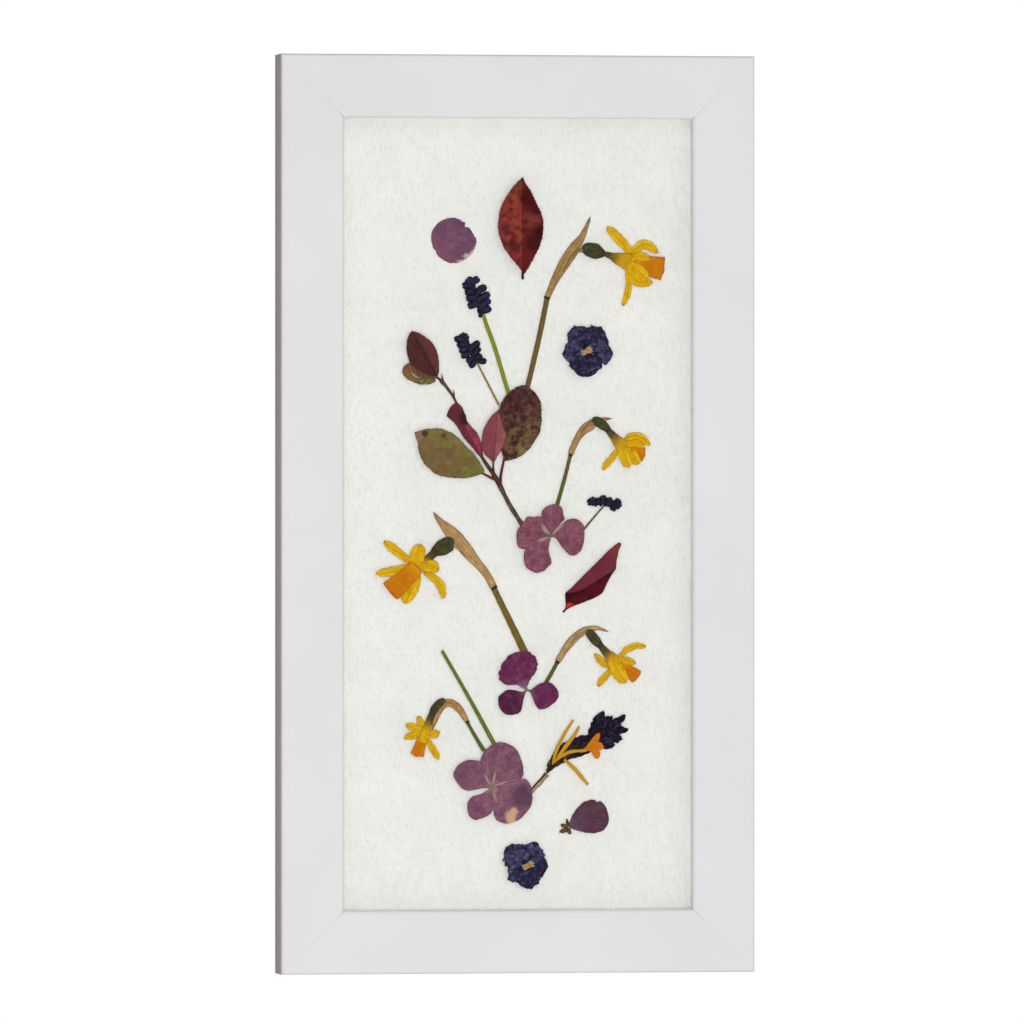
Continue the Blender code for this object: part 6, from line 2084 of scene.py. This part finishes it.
@dataclass
class EmbossedPaper:
    """The paper sheet: a fine grid pressed with short upright strokes."""

    step_x: float = 0.8
    step_z: float = 1.5
    relief: float = 0.3
    lean: float = 0.22
    stroke: tuple[float, float] = (1.5, 4.6)  # width and length of a stroke
    colour: Rgb = (246, 245, 242)
    # the shade colour gives the cloudy tone and the fibre grain, and also the painted shade in the pressed grooves
    shade: Rgb = (230, 230, 225)

    def heights(self, x: Array, z: Array) -> Array:
        """How far the surface stands from the sheet's mean, in mm."""
        lean = x + self.lean * z
        strokes = soft_noise(lean / 1.7, z / 4.2, 11) + 0.7 * soft_noise(lean / 1.1, z / 2.6, 12)
        fleck = np.maximum(soft_noise(lean / 1.3, z / 3.0, 13) - 0.35, 0) * 1.6
        calm = 0.75 + 0.25 * soft_noise(x / 24, z / 30, 14)
        return self.relief * (0.6 * strokes + fleck) * calm

    def material(self) -> bpy.types.Material:
        """The paper's material: matt, slightly cloudy, with a fibre grain, and painted shade in its pressed grooves."""
        mat, g, shader = new_material("embossed_paper")
        mottle = PatternGroups.get(Pattern.MOTTLE)
        cloud = g.group(mottle, size=26.0, level=0.5, softness=0.25, seed=1.0)
        fibre = g.group(mottle, size=0.55, level=0.5, softness=0.3, seed=2.0)
        x, _, z = g.add("SeparateXYZ", {0: g.place()}).outputs
        across = g.math("DIVIDE", g.math("ADD", x, g.math("MULTIPLY", z, self.lean)), self.stroke[0])
        stroke = g.add("CombineXYZ", {0: across, 1: g.math("DIVIDE", z, self.stroke[1])}).outputs[0]
        pressed = g.add("TexNoise", {"Vector": stroke, "Scale": 1.0, "Detail": 2.0}).outputs["Fac"]
        shaded_groove = g.smooth(pressed, 0.54, 0.7)
        crest = g.smooth(pressed, 0.46, 0.3)
        colour = g.mix(g.math("MULTIPLY", cloud, 0.45), self.colour, self.shade)
        colour = g.mix(g.math("MULTIPLY", fibre, 0.25), colour, self.shade)
        # painted shade: the pressed grooves are darkened in colour, as if in shadow
        colour = g.mix(g.math("MULTIPLY", shaded_groove, 0.5), colour, self.shade)
        g.feed(shader.inputs["Base Color"], colour)
        g.feed(shader.inputs["Roughness"], g.span(cloud, 0.8, 0.95))
        height = g.math("MULTIPLY_ADD", g.math("SUBTRACT", crest, shaded_groove), 0.22, g.math("MULTIPLY", fibre, 0.05))
        bump = g.add("Bump", {"Strength": 1.0, "Distance": MM, "Height": height})
        g.feed(shader.inputs["Normal"], bump.outputs[0])
        return mat

    def build(self) -> bpy.types.Object:
        """Builds the sheet.

        Returns:
            The sheet, whose front carries the relief and whose back is flat.
        """
        width, height = (SHEET_HIGH.x - SHEET_LOW.x) / MM, (SHEET_HIGH.z - SHEET_LOW.z) / MM
        columns, rows = round(width / self.step_x), round(height / self.step_z)
        xs, zs = np.linspace(-width / 2, width / 2, columns + 1), np.linspace(-height / 2, height / 2, rows + 1)
        grid_z, grid_x = np.meshgrid(zs, xs, indexing="ij")
        relief = self.heights(grid_x, grid_z)
        edge = np.minimum(width / 2 - np.abs(grid_x), height / 2 - np.abs(grid_z))
        relief = relief * np.clip(edge / 3, 0, 1)
        front = on_paper(grid_x.ravel(), grid_z.ravel(), relief.ravel())
        index = np.arange(front.shape[0]).reshape(rows + 1, columns + 1)
        corners = index[[0, 0, -1, -1], [0, -1, -1, 0]].tolist()
        back = front[corners].copy()
        back[:, 1] = SHEET_HIGH.y
        quads = np.stack([index[:-1, :-1], index[:-1, 1:], index[1:, 1:], index[1:, :-1]], axis=-1)
        faces = [tuple(quad) for quad in quads.reshape(-1, 4).tolist()]
        b = [len(front) + corner for corner in range(4)]
        edges = [index[0], index[:, -1], index[-1, ::-1], index[::-1, 0]]
        for number, border in enumerate(edges):
            faces.append((*border.tolist()[::-1], b[number], b[(number + 1) % 4]))
        faces.append(tuple(b[::-1]))
        mesh = bpy.data.meshes.new("paper_embossed")
        mesh.from_pydata(np.vstack([front, back]).tolist(), [], faces)
        mesh.materials.append(self.material())
        mesh.polygons.foreach_set("use_smooth", [True] * (len(faces) - 5) + [False] * 5)
        piece = bpy.data.objects.new("paper_embossed", mesh)
        bpy.context.scene.collection.objects.link(piece)
        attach(piece, BODY)
        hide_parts("paper_sheet")
        LOG.info("paper_embossed: %d faces, stands for paper_sheet", len(faces))
        return piece


class PictureStack:
    """What lies in the rebate: glass, spacers, paper and backing board."""

    spacers = tuple(f"spacer_{side}" for side in ("left", "right", "top", "bottom"))

    def build(self) -> None:
        """Dresses the pane, spacers and board, and builds the paper."""
        dress(["glass_pane"], ClearGlass().material())
        plain = PressedBoard("spacer_card", (226, 226, 222), (206, 206, 200), (234, 234, 230)).material()
        dress(self.spacers, plain)
        board = PressedBoard("hardboard", (118, 86, 58), (78, 54, 36), (142, 108, 76)).material()
        dress(["backing_board"], board)
        EmbossedPaper().build()


# Studio ---------------------------------------------------------------------------------------


@dataclass
class Studio:
    """Camera, soft lights, pale floor and plain background."""

    azimuth: float = -9.0
    distance: float = 7.0
    view_height: float = 0.631
    aim_right: float = -0.0042
    aim_up: float = 0.0013
    sensor: float = 36.0
    key_power: float = 33.0
    key_size: float = 0.8
    key_place: tuple[float, float, float] = (-0.36, -2.6, -0.44)
    back_power: float = 26.0
    back_size: float = 1.2
    back_place: tuple[float, float, float] = (0.9, 2.2, 0.5)
    glow_axis: tuple[float, float, float] = (0.5, -0.86, -0.1)
    glow_power: float = 0.72
    dim: Rgb = (146, 127, 118)
    card: float = 0.04
    floor_drop: float = 1.0
    floor_size: float = 6.0

    def build_camera(self) -> None:
        """Places the camera at the level of the frame's middle, a little to its left."""
        front_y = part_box("frame_rail_top")[0].y
        turn = math.radians(self.azimuth)
        right = Vector((math.cos(turn), math.sin(turn), 0.0))
        back = Vector((math.sin(turn), -math.cos(turn), 0.0))
        target = Vector((0.0, front_y, CENTRE_Z)) + right * self.aim_right + Vector((0, 0, self.aim_up))
        data = bpy.data.cameras.new("camera")
        data.sensor_width = self.sensor
        data.lens = self.sensor * self.distance / self.view_height
        data.clip_end = 100.0
        data.dof.use_dof = False
        camera = bpy.data.objects.new("camera", data)
        camera.location = target + back * self.distance
        camera.rotation_euler = (math.pi / 2, 0.0, turn)
        bpy.context.scene.collection.objects.link(camera)
        bpy.context.scene.camera = camera

    def add_area(self, name: str, place: Sequence[float], size: float, power: float, colour: Rgb) -> None:
        """Adds a square soft light that faces the middle of the frame."""
        data = bpy.data.lights.new(name, "AREA")
        data.energy = power
        data.size = size
        data.color = linear(colour)[:3]
        light = bpy.data.objects.new(name, data)
        light.location = place
        light.visible_glossy = False
        aim = Vector((0.0, 0.0, CENTRE_Z)) - light.location
        light.rotation_euler = aim.to_track_quat("-Z", "Y").to_euler()
        bpy.context.scene.collection.objects.link(light)

    def build_world(self) -> None:
        """A background that is white to the camera, and lights softly from the front and right."""
        world = bpy.data.worlds.new("studio")
        bpy.context.scene.world = world
        world.use_nodes = True
        g = Graph(world.node_tree)
        world.node_tree.nodes.clear()
        direction = g.add("TexCoord").outputs["Generated"]
        axis = Vector(self.glow_axis).normalized()
        toward = g.add("VectorMath", {0: direction, 1: axis}, operation="DOT_PRODUCT").outputs["Value"]
        glow = g.mix(g.smooth(toward, -0.3, 0.8), self.dim, (255, 255, 255))
        ahead = g.add("VectorMath", {0: direction, 1: (0.1564, -0.9877, 0.0)}, operation="DOT_PRODUCT").outputs["Value"]
        rays = g.add("LightPath").outputs
        card = g.math("MULTIPLY", rays["Is Glossy Ray"], g.smooth(ahead, 0.7, 0.9))
        strength = g.math("MULTIPLY", self.glow_power, g.span(card, 1.0, self.card))
        light = g.add("Background", {"Color": glow, "Strength": strength})
        white = g.add("Background", {"Color": (1.0, 1.0, 1.0, 1.0), "Strength": 1.0})
        mix = g.add("MixShader", {0: rays["Is Camera Ray"], 1: light.outputs[0], 2: white.outputs[0]})
        g.feed(g.add("OutputWorld").inputs["Surface"], mix.outputs[0])

    def build_floor(self) -> None:
        """A pale matt floor below the hanging frame."""
        half = self.floor_size / 2
        low = CAD_BOX[0][2] - self.floor_drop
        mesh = bpy.data.meshes.new("floor")
        mesh.from_pydata([(-half, -half, low), (half, -half, low), (half, half, low), (-half, half, low)], [], [(0, 1, 2, 3)])
        mat, g, shader = new_material("floor_matt")
        cloud = g.group(PatternGroups.get(Pattern.MOTTLE), size=300.0, level=0.5, softness=0.3)
        g.feed(shader.inputs["Base Color"], g.mix(cloud, (240, 240, 240), (236, 236, 236)))
        shader.inputs["Roughness"].default_value = 0.9
        mesh.materials.append(mat)
        floor = bpy.data.objects.new("floor", mesh)
        bpy.context.scene.collection.objects.link(floor)

    def build(self) -> None:
        """Builds the whole studio."""
        self.build_camera()
        self.build_world()
        self.build_floor()
        self.add_area("key_light", self.key_place, self.key_size, self.key_power, (255, 253, 250))
        self.add_area("back_light", self.back_place, self.back_size, self.back_power, (255, 255, 255))
        bpy.context.scene.view_settings.view_transform = "Standard"
        LOG.info("studio: camera, key light, world and floor")


def main() -> None:
    """Builds the frame, the paper and each pressed piece in turn."""
    logging.basicConfig(level=logging.INFO, format="%(message)s")
    Studio().build()
    WoodenFrame().build()
    PictureStack().build()
    for narcissus in narcissi():
        narcissus.build()
    for hyacinth in grape_hyacinths():
        hyacinth.build()
    for flower in violas():
        flower.build()
    for floret in hydrangeas():
        floret.build()
    Sprig().build()
    LooseLeaves().build()
    Crocus().build()


if __name__ == "__main__":
    main()
